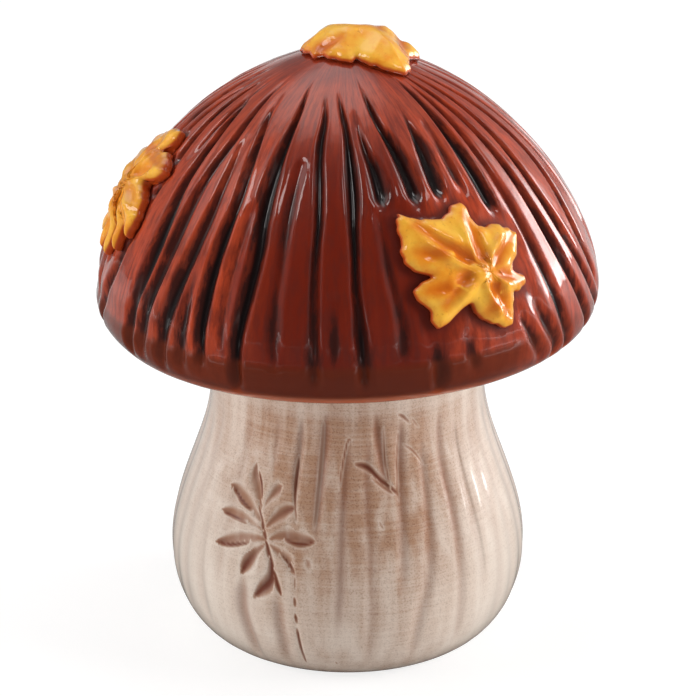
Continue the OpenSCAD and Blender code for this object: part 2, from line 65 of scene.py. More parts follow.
# Strokes are (deepest cut in mm, points). A point is (azimuth in degrees, place along, width in
# mm, share of dark glaze caught in it). Along the cap the place runs 0 crown to 1.2 rim.
FLUTES = [
    (1.2, [(-86, 0.2, 2.4, 0.42), (-86, 0.5, 3.1, 0.62), (-86, 0.98, 2.9, 0.52)]),
    (1.1, [(-79, 0.24, 2.4, 0.52), (-79.5, 0.5, 2.9, 0.62), (-80, 0.99, 2.6, 0.52)]),
    (1.1, [(-72, 0.2, 2.4, 0.52), (-71.5, 0.36, 2.9, 0.72), (-70, 0.46, 3.1, 0.67),
           (-68, 0.6, 2.9, 0.52), (-69, 0.84, 2.6, 0.62), (-71.5, 0.92, 2.9, 0.62),
           (-75, 1, 2.9, 0.62), (-77, 1.08, 2.4, 0.42)]),
    (0.5, [(-64, 0.22, 1.6, 0.34), (-63, 0.34, 1.8, 0.44), (-62, 0.5, 1.6, 0.24)]),
    (1.2, [(-65, 0.27, 1.8, 0.44), (-60, 0.33, 2.2, 0.74), (-57.5, 0.42, 2.7, 0.79),
           (-57, 0.5, 2.9, 0.69), (-56.5, 0.58, 3.1, 0.74), (-55.3, 0.66, 3.4, 0.89),
           (-54.7, 0.74, 3.6, 0.94), (-55, 0.82, 3.4, 0.89), (-56.5, 0.9, 3.1, 0.79),
           (-57.5, 0.985, 3.1, 0.74), (-58.5, 1.08, 2.7, 0.54)]),
    (1.0, [(-51, 0.2, 1.6, 0.34), (-48.5, 0.34, 2, 0.44), (-47.8, 0.42, 2.5, 0.54),
           (-48.5, 0.5, 2.7, 0.59), (-48.8, 0.58, 2.9, 0.64), (-48.7, 0.66, 3.4, 0.74),
           (-49, 0.74, 3.6, 0.74), (-50, 0.82, 3.4, 0.79), (-51.5, 0.9, 3.1, 0.84),
           (-52.5, 0.98, 2.9, 0.74), (-53, 1.05, 2.2, 0.54)]),
    (1.1, [(-42, 0.42, 1.6, 0.29), (-40.7, 0.56, 2.2, 0.44), (-40.5, 0.64, 2.9, 0.64),
           (-41, 0.7, 3.1, 0.79), (-42, 0.78, 3.4, 0.84), (-43.5, 0.86, 3.6, 0.89),
           (-44.8, 0.93, 3.4, 0.89), (-45.5, 0.99, 2.9, 0.74), (-46, 1.07, 2.5, 0.54)]),
    (0.6, [(-39, 0.8, 1.6, 0.44), (-39.2, 0.88, 2.5, 0.74), (-39.5, 0.98, 2.7, 0.74),
           (-39.5, 1.05, 2.2, 0.44)]),
    (1.5, [(-42, 0.26, 1.4, 0.2), (-38.5, 0.34, 2, 0.5), (-36.3, 0.4, 2.4, 0.65),
           (-34.8, 0.46, 2.6, 0.65), (-33.8, 0.52, 2.6, 0.65), (-33.2, 0.58, 2.4, 0.7),
           (-33.5, 0.66, 2.2, 0.95), (-33.9, 0.74, 2.3, 1.0), (-34.2, 0.84, 2.4, 1.0),
           (-34.3, 0.92, 2, 1.0), (-34, 0.98, 2.2, 0.75), (-33.5, 1.02, 1.8, 0.5)]),
    (0.4, [(-27.5, 0.6, 1.6, 0.2), (-28, 0.68, 2, 0.25), (-28.6, 0.8, 1.8, 0.3),
           (-29, 0.96, 1.6, 0.3)]),
    (1.8, [(-27, 0.18, 1.6, 0.2), (-24, 0.28, 2.2, 0.5), (-24, 0.36, 3, 0.8),
           (-24.3, 0.44, 3.2, 0.9), (-24.2, 0.52, 3.5, 0.95), (-23.7, 0.62, 3.5, 1.0),
           (-22.9, 0.7, 3, 1.0), (-23.4, 0.8, 2.4, 1.0), (-24.5, 0.9, 2, 1.0),
           (-25, 0.96, 2.2, 0.9), (-25, 1.03, 2.4, 0.8), (-25.5, 1.09, 2, 0.5)]),
    (0.5, [(-15.3, 0.46, 1.6, 0.2), (-16, 0.56, 2.4, 0.65), (-16.2, 0.66, 2.2, 0.6),
           (-16, 0.75, 1.6, 0.2), (-16.4, 0.83, 2, 0.35), (-16.3, 0.9, 2.6, 0.5),
           (-16, 0.98, 2, 0.3)]),
    (1.2, [(-12, 0.22, 1.8, 0.3), (-9.4, 0.3, 2.6, 0.65), (-9.5, 0.37, 3, 0.85),
           (-9, 0.44, 2.6, 0.85), (-7.9, 0.52, 2.3, 0.85), (-7.4, 0.6, 2.1, 0.9),
           (-7.5, 0.68, 2.1, 0.8), (-7.5, 0.76, 2.2, 0.6), (-7.3, 0.86, 2.4, 0.5),
           (-7.2, 0.97, 2.6, 0.6), (-7, 1.04, 2, 0.3)]),
    (0.4, [(-2.6, 0.82, 1.6, 0.3), (-2.8, 0.9, 2.4, 0.6), (-3, 0.98, 2, 0.4)]),
    (1.4, [(-4, 0.2, 1.8, 0.3), (-0.5, 0.28, 2.4, 0.6), (1.3, 0.34, 2.6, 0.75), (2, 0.4, 2.8, 0.9),
           (2.5, 0.48, 3, 1.0), (2.7, 0.55, 2.8, 1.0), (2.5, 0.62, 2.1, 0.95),
           (2.5, 0.7, 1.9, 0.9), (2.4, 0.78, 2, 0.75), (2.9, 0.85, 2.4, 0.65), (3.2, 0.91, 3, 0.8),
           (3.6, 0.985, 2.8, 0.7), (3.8, 1.05, 2, 0.4)]),
    (1.3, [(6, 0.3, 1.6, 0.2), (8.4, 0.4, 2.4, 0.6), (10.4, 0.46, 3.4, 0.95),
           (11.3, 0.52, 3.9, 1.0), (11.5, 0.575, 3.6, 1.0)]),
    (0.6, [(10.2, 0.6, 2, 0.3), (10.4, 0.7, 2, 0.45), (11, 0.78, 2, 0.35), (12.2, 0.86, 2.2, 0.45),
           (12.6, 0.965, 3, 0.6)]),
    (1.6, [(13.8, 0.18, 2.2, 0.5), (15.2, 0.26, 2.6, 0.75), (16.8, 0.33, 2.6, 0.75),
           (18.9, 0.38, 3, 0.95), (20.6, 0.44, 3.5, 1.0), (21.6, 0.5, 3.7, 1.0),
           (22, 0.575, 3.2, 1.0)]),
    (1.4, [(31.5, 0.3, 2, 0.4), (31.2, 0.38, 3, 0.85), (30.6, 0.45, 3.6, 1.0),
           (30, 0.52, 3.4, 1.0), (30, 0.575, 2.8, 1.0)]),
    (0.5, [(38.8, 0.36, 1.6, 0.2), (38.2, 0.48, 2.4, 0.55), (38, 0.56, 2, 0.4)]),
    (1.3, [(47, 0.17, 2.4, 0.4), (46.6, 0.27, 2.6, 0.55), (46, 0.36, 3, 0.85),
           (46, 0.44, 3.4, 0.95), (45.8, 0.52, 3.6, 1.0), (45.5, 0.6, 3.2, 1.0),
           (45.4, 0.645, 2.8, 0.9)]),
    (1.1, [(19.4, 0.925, 2.6, 1.0), (20.1, 0.98, 2.7, 1.0), (20.5, 1.03, 2.4, 1.0),
           (20.5, 1.1, 2, 0.7)]),
    (0.7, [(27.8, 0.93, 3, 0.75), (28.3, 0.98, 3.2, 0.8), (28.9, 1.03, 2, 0.4)]),
    (0.8, [(41, 0.905, 1.6, 0.6), (43.7, 0.955, 2, 0.7), (46.3, 1.01, 2, 0.6),
           (48.6, 1.07, 1.6, 0.3)]),
    (0.8, [(46.8, 0.87, 1.8, 0.4), (49, 0.94, 2.4, 0.7), (51.4, 0.99, 2.4, 0.7),
           (54, 1.05, 2, 0.5), (55, 1.12, 1.6, 0.2)]),
    (0.9, [(52.8, 0.2, 1.8, 0.3), (53, 0.34, 2, 0.4), (52.4, 0.5, 1.6, 0.3),
           (52.3, 0.62, 1.5, 0.3), (52.5, 0.72, 1.7, 0.5), (53, 0.8, 1.7, 0.7),
           (54, 0.86, 1.7, 0.85), (55.5, 0.93, 1.7, 0.9), (57, 0.99, 1.9, 0.8),
           (59.5, 1.06, 1.9, 0.6), (61, 1.13, 1.6, 0.3)]),
    (1.3, [(57.5, 0.17, 2, 0.4), (59.4, 0.3, 2.2, 0.5), (60.3, 0.4, 2.2, 0.5),
           (60.6, 0.5, 2.1, 0.6), (60.4, 0.6, 2, 0.7), (60.3, 0.68, 2, 0.85),
           (60.8, 0.76, 2, 0.95), (62, 0.83, 2, 0.95), (64, 0.9, 2, 0.85), (66.6, 0.97, 2, 0.8),
           (70, 1.04, 2, 0.6), (72, 1.13, 1.6, 0.3)]),
    (1.3, [(65.5, 0.17, 2, 0.4), (68, 0.3, 2.2, 0.5), (68.4, 0.4, 2.2, 0.5), (68, 0.5, 2.1, 0.6),
           (67.1, 0.6, 2, 0.7), (66.9, 0.68, 2, 0.85), (67.5, 0.75, 2.1, 0.95), (69, 0.82, 2, 0.9),
           (71.5, 0.9, 1.9, 0.8), (74.2, 0.96, 2, 0.7), (79, 1.03, 2, 0.5), (81, 1.12, 1.6, 0.3)]),
    (1.3, [(74, 0.17, 2, 0.4), (78, 0.34, 2.2, 0.5), (79.8, 0.5, 2.2, 0.5), (79.4, 0.6, 2.2, 0.6),
           (78, 0.68, 2.2, 0.7), (76.4, 0.76, 2.2, 0.85), (76.1, 0.82, 2.2, 0.85),
           (77.6, 0.9, 1.9, 0.7), (81, 0.98, 1.7, 0.5)]),
    (1.0, [(86, 0.2, 2, 0.4), (88, 0.5, 2.4, 0.6), (87, 0.75, 2.6, 0.8), (89.5, 0.98, 2, 0.5)]),
]

# On the stem the place is the height in mm.
GOUGES = [
    (0.3, [(-84, 6, 5, 0.2), (-85, 34, 5, 0.2), (-84, 64, 4, 0.2)]),
    (0.3, [(-74, 8, 5, 0.15), (-73, 60, 4, 0.2)]),
    (0.3, [(-65, 8, 4.5, 0.25), (-64, 64, 4, 0.25)]),
    (0.5, [(-52.5, 8, 4, 0.15), (-55, 22, 5, 0.25), (-57, 40, 4, 0.2)]),
    (0.3, [(-46, 22, 4, 0.15), (-44, 64, 3.5, 0.3)]),
    (0.3, [(-30, 50, 3, 0.2), (-29, 66, 3, 0.4)]),
    (1.0, [(-32, 2, 3, 0.4), (-34, 12, 4.2, 0.6), (-35.6, 20, 4.6, 0.7), (-35, 28, 4, 0.5)]),
    (0.8, [(-21, 2, 3, 0.3), (-21.5, 12, 3.6, 0.45), (-22.6, 25, 3.6, 0.55)]),
    (0.9, [(-18.6, 44, 2, 0.4), (-20, 52, 2.6, 0.7), (-19.2, 60, 2.4, 0.6), (-18.6, 67, 2, 0.5)]),
    (0.9, [(-11, 37, 2.2, 0.6), (-10.6, 48, 3.2, 0.9), (-9.6, 58, 3.6, 1), (-8.6, 68, 3.2, 1)]),
    (0.8, [(-3.6, 14, 2.6, 0.4), (-2.4, 26, 3, 0.6), (-2, 40, 3, 0.65), (-1.2, 51, 3, 0.75),
           (0.6, 61, 2.4, 0.7)]),
    (0.5, [(7, 6, 3, 0.2), (7.4, 30, 2.6, 0.35), (7.2, 50, 2.6, 0.6), (8.6, 61, 2.2, 0.7)]),
    (0.9, [(15.4, 47, 2, 0.6), (14, 54, 3, 0.95), (12.4, 62, 3.4, 1), (11.6, 68, 3, 0.9)]),
    (0.7, [(17, 24, 3, 0.2), (19.8, 46, 3, 0.6), (21, 56, 3.4, 0.85), (22.6, 66, 2.8, 0.7)]),
    (0.7, [(22, 6, 3.4, 0.2), (23, 18, 3.6, 0.3), (27, 30, 3.6, 0.4), (30, 46, 3.2, 0.5),
           (31, 60, 2.6, 0.4)]),
    (0.7, [(38.6, 6, 3.2, 0.2), (39, 28, 3.4, 0.4), (40, 44, 3.6, 0.7), (39.6, 55, 3.4, 0.6),
           (41, 66, 2.6, 0.5)]),
    (0.4, [(48, 20, 4, 0.15), (49, 62, 4, 0.2)]), (0.3, [(58, 6, 5, 0.2), (59, 62, 4, 0.2)]),
    (0.3, [(67, 10, 4, 0.15), (66, 64, 4, 0.15)]), (0.3, [(77, 6, 5, 0.2), (76, 62, 4, 0.25)]),
    (0.3, [(86, 10, 4, 0.15), (87, 64, 4, 0.2)]),
]

# The leaf pressed into the stem, then the loose scratches round it.
PRESSES = [
    (1.0, [(-38, 53.4, 0.6, 0.9), (-37.8, 50.8, 3.5, 0.67), (-35.8, 48.6, 4.2, 0.56),
           (-33.8, 46, 2.8, 0.56), (-32, 42.9, 0.8, 0.67)]),
    (0.5, [(-36.4, 51.7, 0.8, 1), (-34.2, 48.9, 1.2, 1), (-32.6, 45.4, 0.8, 1)]),
    (0.9, [(-48.6, 46.6, 0.6, 0.9), (-44, 45.3, 3.8, 0.62), (-39.4, 44.2, 3.8, 0.5),
           (-34.4, 42.4, 2.2, 0.5), (-31, 40.7, 0.7, 0.56)]),
    (0.5, [(-46.8, 45.9, 0.8, 1), (-41.4, 44, 1.1, 1), (-35.8, 42.5, 0.7, 0.9)]),
    (0.8, [(-25, 49.6, 0.6, 0.9), (-27.2, 48.4, 2.8, 0.67), (-29.8, 46.3, 1.6, 0.56),
           (-31.4, 43.9, 0.6, 0.56)]),
    (0.7, [(-50.2, 40.3, 0.6, 0.78), (-44.2, 40.7, 3.1, 0.56), (-38.4, 40.5, 3.1, 0.5),
           (-33.4, 39.8, 1.2, 0.45), (-30.2, 39, 0.6, 0.56)]),
    (0.4, [(-48.6, 40, 0.7, 0.9), (-42, 39.9, 0.8, 1), (-36.4, 39.6, 0.6, 0.67)]),
    (0.8, [(-18.8, 45.4, 0.6, 1), (-22.8, 44.1, 2.6, 0.78), (-26.2, 42.3, 2.2, 0.67),
           (-29.4, 39.7, 0.7, 0.67)]),
    (0.9, [(-49.2, 32.7, 0.6, 1), (-43.6, 34.3, 3.2, 0.67), (-37.8, 36, 3.5, 0.56),
           (-32.2, 37, 1.9, 0.56), (-28, 37.1, 0.7, 0.67)]),
    (0.5, [(-47.8, 32.7, 0.8, 1), (-41.6, 33.8, 1.2, 1), (-34.6, 35.5, 0.8, 0.9)]),
    (0.9, [(-10.4, 38.2, 0.6, 1), (-15, 38.4, 3.1, 0.67), (-20.2, 38.8, 3.5, 0.62),
           (-24.4, 38.4, 1.9, 0.56), (-27.8, 37.1, 0.7, 0.67)]),
    (0.5, [(-11.2, 38.1, 0.8, 1), (-16.2, 37.4, 1.2, 1), (-21.8, 38, 0.8, 0.9)]),
    (0.9, [(-36.4, 27.5, 0.7, 1), (-35.2, 30, 3.2, 1), (-33, 32.6, 3.8, 0.84),
           (-30.8, 34.5, 1.9, 0.67), (-28.2, 36.3, 0.7, 0.67)]),
    (0.8, [(-16.8, 30.4, 0.6, 1), (-18.8, 32.4, 3.1, 0.67), (-21.6, 34.2, 3.2, 0.56),
           (-24.6, 35.4, 1.6, 0.56), (-27.4, 36.4, 0.7, 0.67)]),
    (0.5, [(-17.2, 31.1, 0.7, 1), (-19.8, 33.1, 0.8, 1), (-22.8, 34.7, 0.6, 0.78)]),
    (1.0, [(-31.4, 22.9, 0.8, 1), (-28.2, 25.4, 3.1, 1), (-25.4, 27.9, 4.1, 1),
           (-25.2, 30.9, 2.4, 1), (-26.4, 33.6, 0.8, 0.78)]),
    (0.8, [(-21, 24.7, 0.6, 1), (-22.8, 27.1, 1.6, 1), (-24.6, 30.8, 1.2, 1)]),
    (0.8, [(-33.6, 44.4, 0.8, 0.9), (-31.4, 41.3, 1.2, 0.9), (-29.4, 38.3, 1.3, 0.95),
           (-27.6, 35.5, 1.3, 1), (-25.6, 32.3, 1.6, 1), (-23.4, 28, 1.6, 1),
           (-21.4, 24.8, 0.7, 1)]),
    (0.3, [(-13.6, 34.4, 2, 0.6), (-12, 31.8, 2.2, 0.5)]),
    (0.4, [(-12.4, 27.6, 1.2, 0.9), (-11.8, 26.4, 1, 0.9)]),
    (0.6, [(-19.8, 57, 0.9, 0.7), (-20.2, 52, 1.1, 1.0), (-19.6, 47, 0.9, 0.9),
           (-18, 42, 0.8, 0.5)]),
    (0.2, [(-9.9, 66, 1.1, 0.4), (-10.7, 56, 1.3, 0.5), (-11.7, 41, 1, 0.4)]),
    (0.4, [(-3.2, 50, 0.7, 0.5), (-1.8, 56, 0.8, 0.8), (0.2, 61.4, 0.8, 0.8),
           (1.8, 61, 0.7, 0.6)]),
    (0.4, [(18.9, 46.6, 0.7, 0.5), (19.8, 55, 0.9, 0.7), (21.6, 63, 0.7, 0.6)]),
    (0.4, [(14.6, 64.6, 0.7, 0.5), (15, 56, 0.8, 0.7), (16.2, 50, 0.7, 0.5)]),
    (0.4, [(-17, 30, 0.7, 0.6), (-16.8, 26.4, 0.7, 0.6)]),
    (0.6, [(-16.9, 25, 1, 1.0), (-16.7, 22.4, 1, 1.0)]),
    (0.6, [(-16.7, 21, 1, 1.0), (-16.2, 18.2, 1, 1.0)]),
    (0.6, [(-16.3, 17, 0.9, 1.0), (-15.7, 11.5, 0.9, 1.0), (-14.8, 5.5, 0.8, 0.8)]),
    (0.9, [(2.6, 55.8, 0.9, 0.8), (7.4, 55, 1.5, 1.0), (12, 52.4, 1.5, 1.0),
           (19.6, 48.2, 0.9, 0.9)]),
    (0.5, [(9, 52.6, 0.8, 0.5), (13.4, 50.4, 1, 0.7), (17.6, 48.4, 0.8, 0.7)]),
    (0.4, [(22.8, 59.4, 0.7, 0.5), (27, 57.4, 0.8, 0.6), (31.4, 53.8, 0.7, 0.5)]),
    (0.5, [(20.6, 67, 0.9, 0.6), (23.4, 66, 1, 0.8), (26.6, 64, 0.8, 0.5)]),
    (0.4, [(27, 65.4, 0.8, 0.5), (30.4, 62.6, 0.8, 0.5)]),
    (0.4, [(11, 42.8, 1, 0.7), (12.4, 41, 1, 0.7)]),
    (0.3, [(-4.4, 7.4, 1, 0.7), (-3, 5.6, 0.8, 0.6)]),
]

# Leaf outlines in mm, clockwise, the first number across and the second up, and their veins from
# the hub outwards as (points, depth, side of the raised fold: 1 left, -1 right). A is the open
# leaf of the front and the back, L the leaf seen edge-on at the left and C the crown's.
LEAF_A = [
    (-13.8, 14.4), (-10, 12.8), (-6.8, 12.2), (-3.4, 12.4), (-1.2, 14.4), (0.8, 14.9), (2.3, 13.2),
    (2.6, 10), (4.4, 7.9), (6.8, 8.2), (9, 7.2), (11.4, 5.9), (13.2, 4.2), (12.8, 2), (11.4, -0.4),
    (9.2, -2.9), (10.4, -4.2), (12.1, -5.6), (11.8, -7.5), (9.4, -8.2), (7.9, -8.2), (7.5, -10),
    (6.8, -12.4), (5.4, -15), (3.2, -14.7), (0.5, -13.1), (-1.8, -12.1), (-2.9, -10), (-4, -8.2),
    (-5.9, -8.8), (-7.9, -9.9), (-10.4, -11.5), (-13, -11.8), (-13.7, -9.6), (-13.8, -7.6),
    (-15, -6.2), (-16.4, -4.6), (-15.6, -2.8), (-13.6, -1.6), (-11.6, -0.6), (-14, 0.6),
    (-15.8, 2.1), (-16.4, 4.4), (-15.8, 7.1), (-15.3, 9.8), (-15, 12.4),
]
VEINS_A = [
    ([(2.2, -2.6), (-1.1, 0.3), (-5.9, 4.5), (-11.2, 10.8)], 1.5, 1),
    ([(2.2, -2.6), (0.8, 1.2), (0.9, 6.2), (0.6, 11)], 1.1, 1),
    ([(2.2, -2.6), (6.4, 1.0), (10.6, 3.9)], 1.1, 1),
    ([(2.2, -2.6), (6.6, -4.0), (10.4, -6.5)], 0.9, -1),
    ([(2.2, -2.6), (2.2, -5.6), (3.2, -8.6), (4.6, -12.2)], 1.3, -1),
    ([(2.8, -7.6), (0.8, -9.4), (-0.6, -10.4)], 0.6, 1),
    ([(-1.2, -0.2), (-3.6, -1.9), (-6.2, -3.9), (-10.2, -7.4)], 1.1, 1),
    ([(-6.2, -3.9), (-10.4, -3.8), (-13.4, -4)], 0.5, 1),
    ([(-5.2, 3.6), (-9.4, 3.8), (-13, 4.8)], 0.5, 1),
]
LEAF_L = [
    (1.6, 20), (5, 20.8), (6.6, 17.2), (5.6, 13.8), (8.4, 14.8), (11.4, 13.6), (14.6, 11),
    (13.4, 8), (9.8, 5.4), (11.8, 4), (14.4, 2), (16.4, -1.2), (17.6, -4.6), (17.2, -8.4),
    (13.2, -6.6), (14.2, -10), (14.6, -13), (11.6, -11.4), (9.6, -8), (10, -12), (9.2, -16.2),
    (7, -13.4), (6, -9), (5.6, -12.8), (3.6, -16.6), (2, -13.4), (1.6, -9.4), (-0.4, -12),
    (-3, -14.4), (-3.4, -11.4), (-2.8, -8.2), (-5.6, -9.6), (-7.4, -8.8), (-5.2, -5.4),
    (-9.2, -5.6), (-11, -2), (-7, 1), (-10.6, 3.4), (-12.4, 7.4), (-8, 8.6), (-4.2, 9.4),
    (-5.6, 13), (-3, 16.6),
]
VEINS_L = [
    ([(4.2, 1.6), (2.2, 8), (2.6, 16.5)], 1.4, -1), ([(4.2, 1.6), (7, 6), (10.4, 10.6)], 1.4, -1),
    ([(4.2, 1.6), (10, 1.4), (15, -1)], 1.4, 1), ([(4.2, 1.6), (9.4, -2.6), (14.6, -6)], 1.2, 1),
    ([(4.2, 1.6), (7.4, -4), (11.6, -9.6)], 1.2, 1),
    ([(4.2, 1.6), (4.4, -4.6), (4.8, -9.8)], 1.2, 1),
    ([(4.2, 1.6), (0.6, -4), (-1.4, -8.8)], 1.2, 1),
    ([(4.2, 1.6), (-1.6, -0.6), (-6.4, -2.6)], 1.0, 1),
    ([(4.2, 1.6), (-1.4, 4.6), (-7.8, 6)], 1.2, 1),
]
LEAF_C = [
    (-9.2, 1.3), (-8.4, 4.2), (-7.6, 6.4), (-5.6, 9), (-2.4, 9.6), (0.6, 8.6), (1.8, 11.6),
    (4.6, 13), (7, 10.6), (9.6, 11.4), (12.2, 10.4), (14, 8.2), (16.6, 6.4), (17.4, 3.4),
    (15.6, 0.4), (14.9, -2.4), (15.3, -5.2), (14.9, -8.2), (12.9, -10), (9.8, -9.8), (7.1, -9.3),
    (4.7, -8.6), (3.1, -7.2), (1.9, -8.8), (-0.3, -7.8), (-2.4, -7.2), (-4.7, -5.5), (-6.4, -5),
    (-7.4, -2.9), (-8.6, -0.9),
]
VEINS_C = [
    ([(-3, 9.2), (-1.4, 8.8), (-0.2, 9)], 0.5, 1),
    ([(-4.2, -3.8), (-2, -3.6), (-0.4, -3)], 0.8, 1), ([(4.2, 7.2), (5.6, 4), (7.2, 0.8)], 0.8, 1),
    ([(11.4, 6.4), (12.7, 2), (13, -2.6)], 0.8, 1),
    ([(-6.6, 3.4), (-5, 4.4), (-3.6, 4.6)], 0.5, 1), ([(13.6, 7), (11.6, 8)], 0.5, 1),
]

# What differs from leaf to leaf: its CAD node, its drawing with the hub of its veins, its place as
# (azimuth, place along, turn, scale) or None on the crown, how far the flutes keep off, its
# thickness, how much it is draped over the crown, how deep its veins are cut and how much orange
# shows high on its lobes.
LEAVES = {
    "front_maple_leaf": dict(
        node="front_leaf", outline=LEAF_A, hub=(2.0, -2.4), veins=VEINS_A,
        place=(32.7, 0.766, 0, 1.0), clear=1.0, thick=1.0, drape=0, cut=1.0, tipped=0),
    "left_maple_leaf": dict(
        node="left_leaf", outline=LEAF_L, hub=(4.2, 1.6), veins=VEINS_L,
        place=(-84, 0.69, 0, 0.92), clear=0.35, thick=1.1, drape=0, cut=0.6, tipped=0.6),
    "back_maple_leaf": dict(
        node="back_leaf", outline=LEAF_A, hub=(2.0, -2.4), veins=VEINS_A,
        place=(152, 0.74, 60, 0.95), clear=0.8, thick=1.0, drape=0, cut=1.0, tipped=0),
    "crown_maple_leaf": dict(
        node="crown_leaf", outline=LEAF_C, hub=(3, -1.5), veins=VEINS_C,
        place=None, clear=0, thick=1.35, drape=1, cut=1.0, tipped=0),
}


# ---------------------------------------------------------------- settings

class CapSettings(bpy.types.PropertyGroup):
    radius: bpy.props.FloatProperty(
        name="Radius", description="Radius of the cap at its widest line",
        default=0.059, unit="LENGTH")
    dome_height: bpy.props.FloatProperty(
        name="Dome height", description="Height of the dome above the widest line",
        default=0.0575, unit="LENGTH")
    fullness: bpy.props.FloatProperty(
        name="Fullness", description="Power of the dome curve, 2 is an ellipse", default=1.65)
    equator: bpy.props.FloatProperty(
        name="Widest line", description="Height of the widest line above the table",
        default=0.0885, unit="LENGTH")
    flute_depth: bpy.props.FloatProperty(
        name="Flute depth", description="Factor on the depth of all flutes", default=1.0)
    ridge: bpy.props.FloatProperty(
        name="Ridge", description="Rise of the rounded ridges between flutes",
        default=0.0005, unit="LENGTH")
    lean: bpy.props.FloatProperty(
        name="Lean", description="How far the cap sits out of level on the stem",
        default=math.radians(1.1), subtype="ANGLE")
    glaze: bpy.props.StringProperty(
        name="Glaze", description="Red-brown glaze on the ridges, sRGB hex", default="#b24224")
    pooled: bpy.props.StringProperty(
        name="Pooled glaze", description="Dark glaze pooled in the flutes, sRGB hex",
        default="#150a0b")


class StemSettings(bpy.types.PropertyGroup):
    gouge_depth: bpy.props.FloatProperty(
        name="Gouge depth", description="Factor on the depth of the tool gouges", default=1.0)
    press_depth: bpy.props.FloatProperty(
        name="Press depth", description="Depth of the pressed leaf", default=0.001, unit="LENGTH")
    clay: bpy.props.StringProperty(
        name="Clay", description="Pale clay body under clear glaze, sRGB hex", default="#f2e8dc")
    wash: bpy.props.StringProperty(
        name="Wash", description="Brown wash brushed over the clay, sRGB hex", default="#b08a70")
    mark: bpy.props.StringProperty(
        name="Marks", description="Wash caught in the pressed marks, sRGB hex", default="#6e3626")


class LeafSettings(bpy.types.PropertyGroup):
    thickness: bpy.props.FloatProperty(
        name="Thickness", description="Thickness of the applied leaves",
        default=0.0034, unit="LENGTH")
    vein_depth: bpy.props.FloatProperty(
        name="Vein depth", description="Depth of the veins", default=0.0010, unit="LENGTH")
    amber: bpy.props.StringProperty(
        name="Amber", description="Amber leaf glaze, sRGB hex", default="#f7bb42")
    vein: bpy.props.StringProperty(
        name="Veins", description="Orange glaze in the veins, sRGB hex", default="#cf620f")


class StageSettings(bpy.types.PropertyGroup):
    elevation: bpy.props.FloatProperty(
        name="Elevation", description="Camera height angle", default=math.radians(22),
        subtype="ANGLE")
    distance: bpy.props.FloatProperty(
        name="Distance", description="Camera to the middle of the ornament", default=0.82,
        unit="LENGTH")
    aim: bpy.props.FloatProperty(
        name="Aim height", description="Height that the camera looks at", default=0.07112,
        unit="LENGTH")
    lens: bpy.props.FloatProperty(
        name="Lens", description="Focal length in mm on a 36 mm sensor", default=177.5)


class OrnamentSettings(bpy.types.PropertyGroup):
    cap: bpy.props.PointerProperty(type=CapSettings, name="Cap")
    stem: bpy.props.PointerProperty(type=StemSettings, name="Stem")
    leaf: bpy.props.PointerProperty(type=LeafSettings, name="Leaves")
    stage: bpy.props.PointerProperty(type=StageSettings, name="Stage")


# ------------------------------------------------------------------ helpers

def linear(hex_colour):
    """An sRGB hex value as a linear RGBA tuple."""
    parts = [int(hex_colour[i:i + 2], 16) / 255 for i in (1, 3, 5)]
    return (*(c / 12.92 if c <= 0.04045 else ((c + 0.055) / 1.055) ** 2.4 for c in parts), 1.0)


def add(tree, kind, inputs=(), out=0, **settings):
    """Adds a node and returns its output of that name or number, or the node itself for None.
    inputs gives values and what feeds them, by name or number, and settings its properties."""
    node = tree.nodes.new(kind)
    for key, value in settings.items():
        setattr(node, key, value)
    for key, value in dict(inputs).items():
        if isinstance(value, bpy.types.NodeSocket):
            tree.links.new(value, node.inputs[key])
        else:
            node.inputs[key].default_value = value
    return node if out is None else node.outputs[out]


def smooth(a, b, x):
    """Eased step from 0 at a to 1 at b."""
    t = np.clip((x - a) / (b - a), 0, 1)
    return t * t * (3 - 2 * t)


def spline(points, step):
    """Catmull-Rom curve through open points, resampled at about the step."""
    p = np.asarray(points, float)
    p = np.concatenate([[2 * p[0] - p[1]], p, [2 * p[-1] - p[-2]]])
    curve = []
    for i in range(1, len(p) - 2):
        count = max(2, int(np.hypot(*(p[i + 1] - p[i])[:2]) / step))
        for t in np.arange(count) / count:
            curve.append(0.5 * (2 * p[i] + (p[i + 1] - p[i - 1]) * t
                                + (2 * p[i - 1] - 5 * p[i] + 4 * p[i + 1] - p[i + 2]) * t ** 2
                                + (3 * p[i] - p[i - 1] - 3 * p[i + 1] + p[i + 2]) * t ** 3))
    curve.append(p[-2])
    return np.array(curve)


def run_length(points):
    """Distance along a polyline at each of its points."""
    steps = np.hypot(*np.diff(points[:, :2], axis=0).T)
    return np.concatenate([[0], np.cumsum(steps)])


def segment_gap(points, a, b):
    """Distance from points to the straight line from a to b."""
    d = b - a
    t = np.clip(((points - a) @ d) / max(d @ d, 1e-9), 0, 1)
    return np.linalg.norm(points - a - t[:, None] * d, axis=1)


def outline_gap(outline, x, y):
    """Distance in mm from points to a closed outline, 0 inside it."""
    points = np.stack([x, y], -1)
    ring = np.asarray(outline, float)
    gap = np.full(len(points), 1e9)
    inside = np.zeros(len(points), bool)
    for a, b in zip(ring, np.roll(ring, -1, axis=0)):
        gap = np.minimum(gap, segment_gap(points, a, b))
        if a[1] != b[1]:
            along = (points[:, 1] - a[1]) / (b[1] - a[1])
            crossed = a[0] + along * (b[0] - a[0]) > points[:, 0]
            inside ^= crossed & ((a[1] > points[:, 1]) != (b[1] > points[:, 1]))
    return np.where(inside, 0, gap)


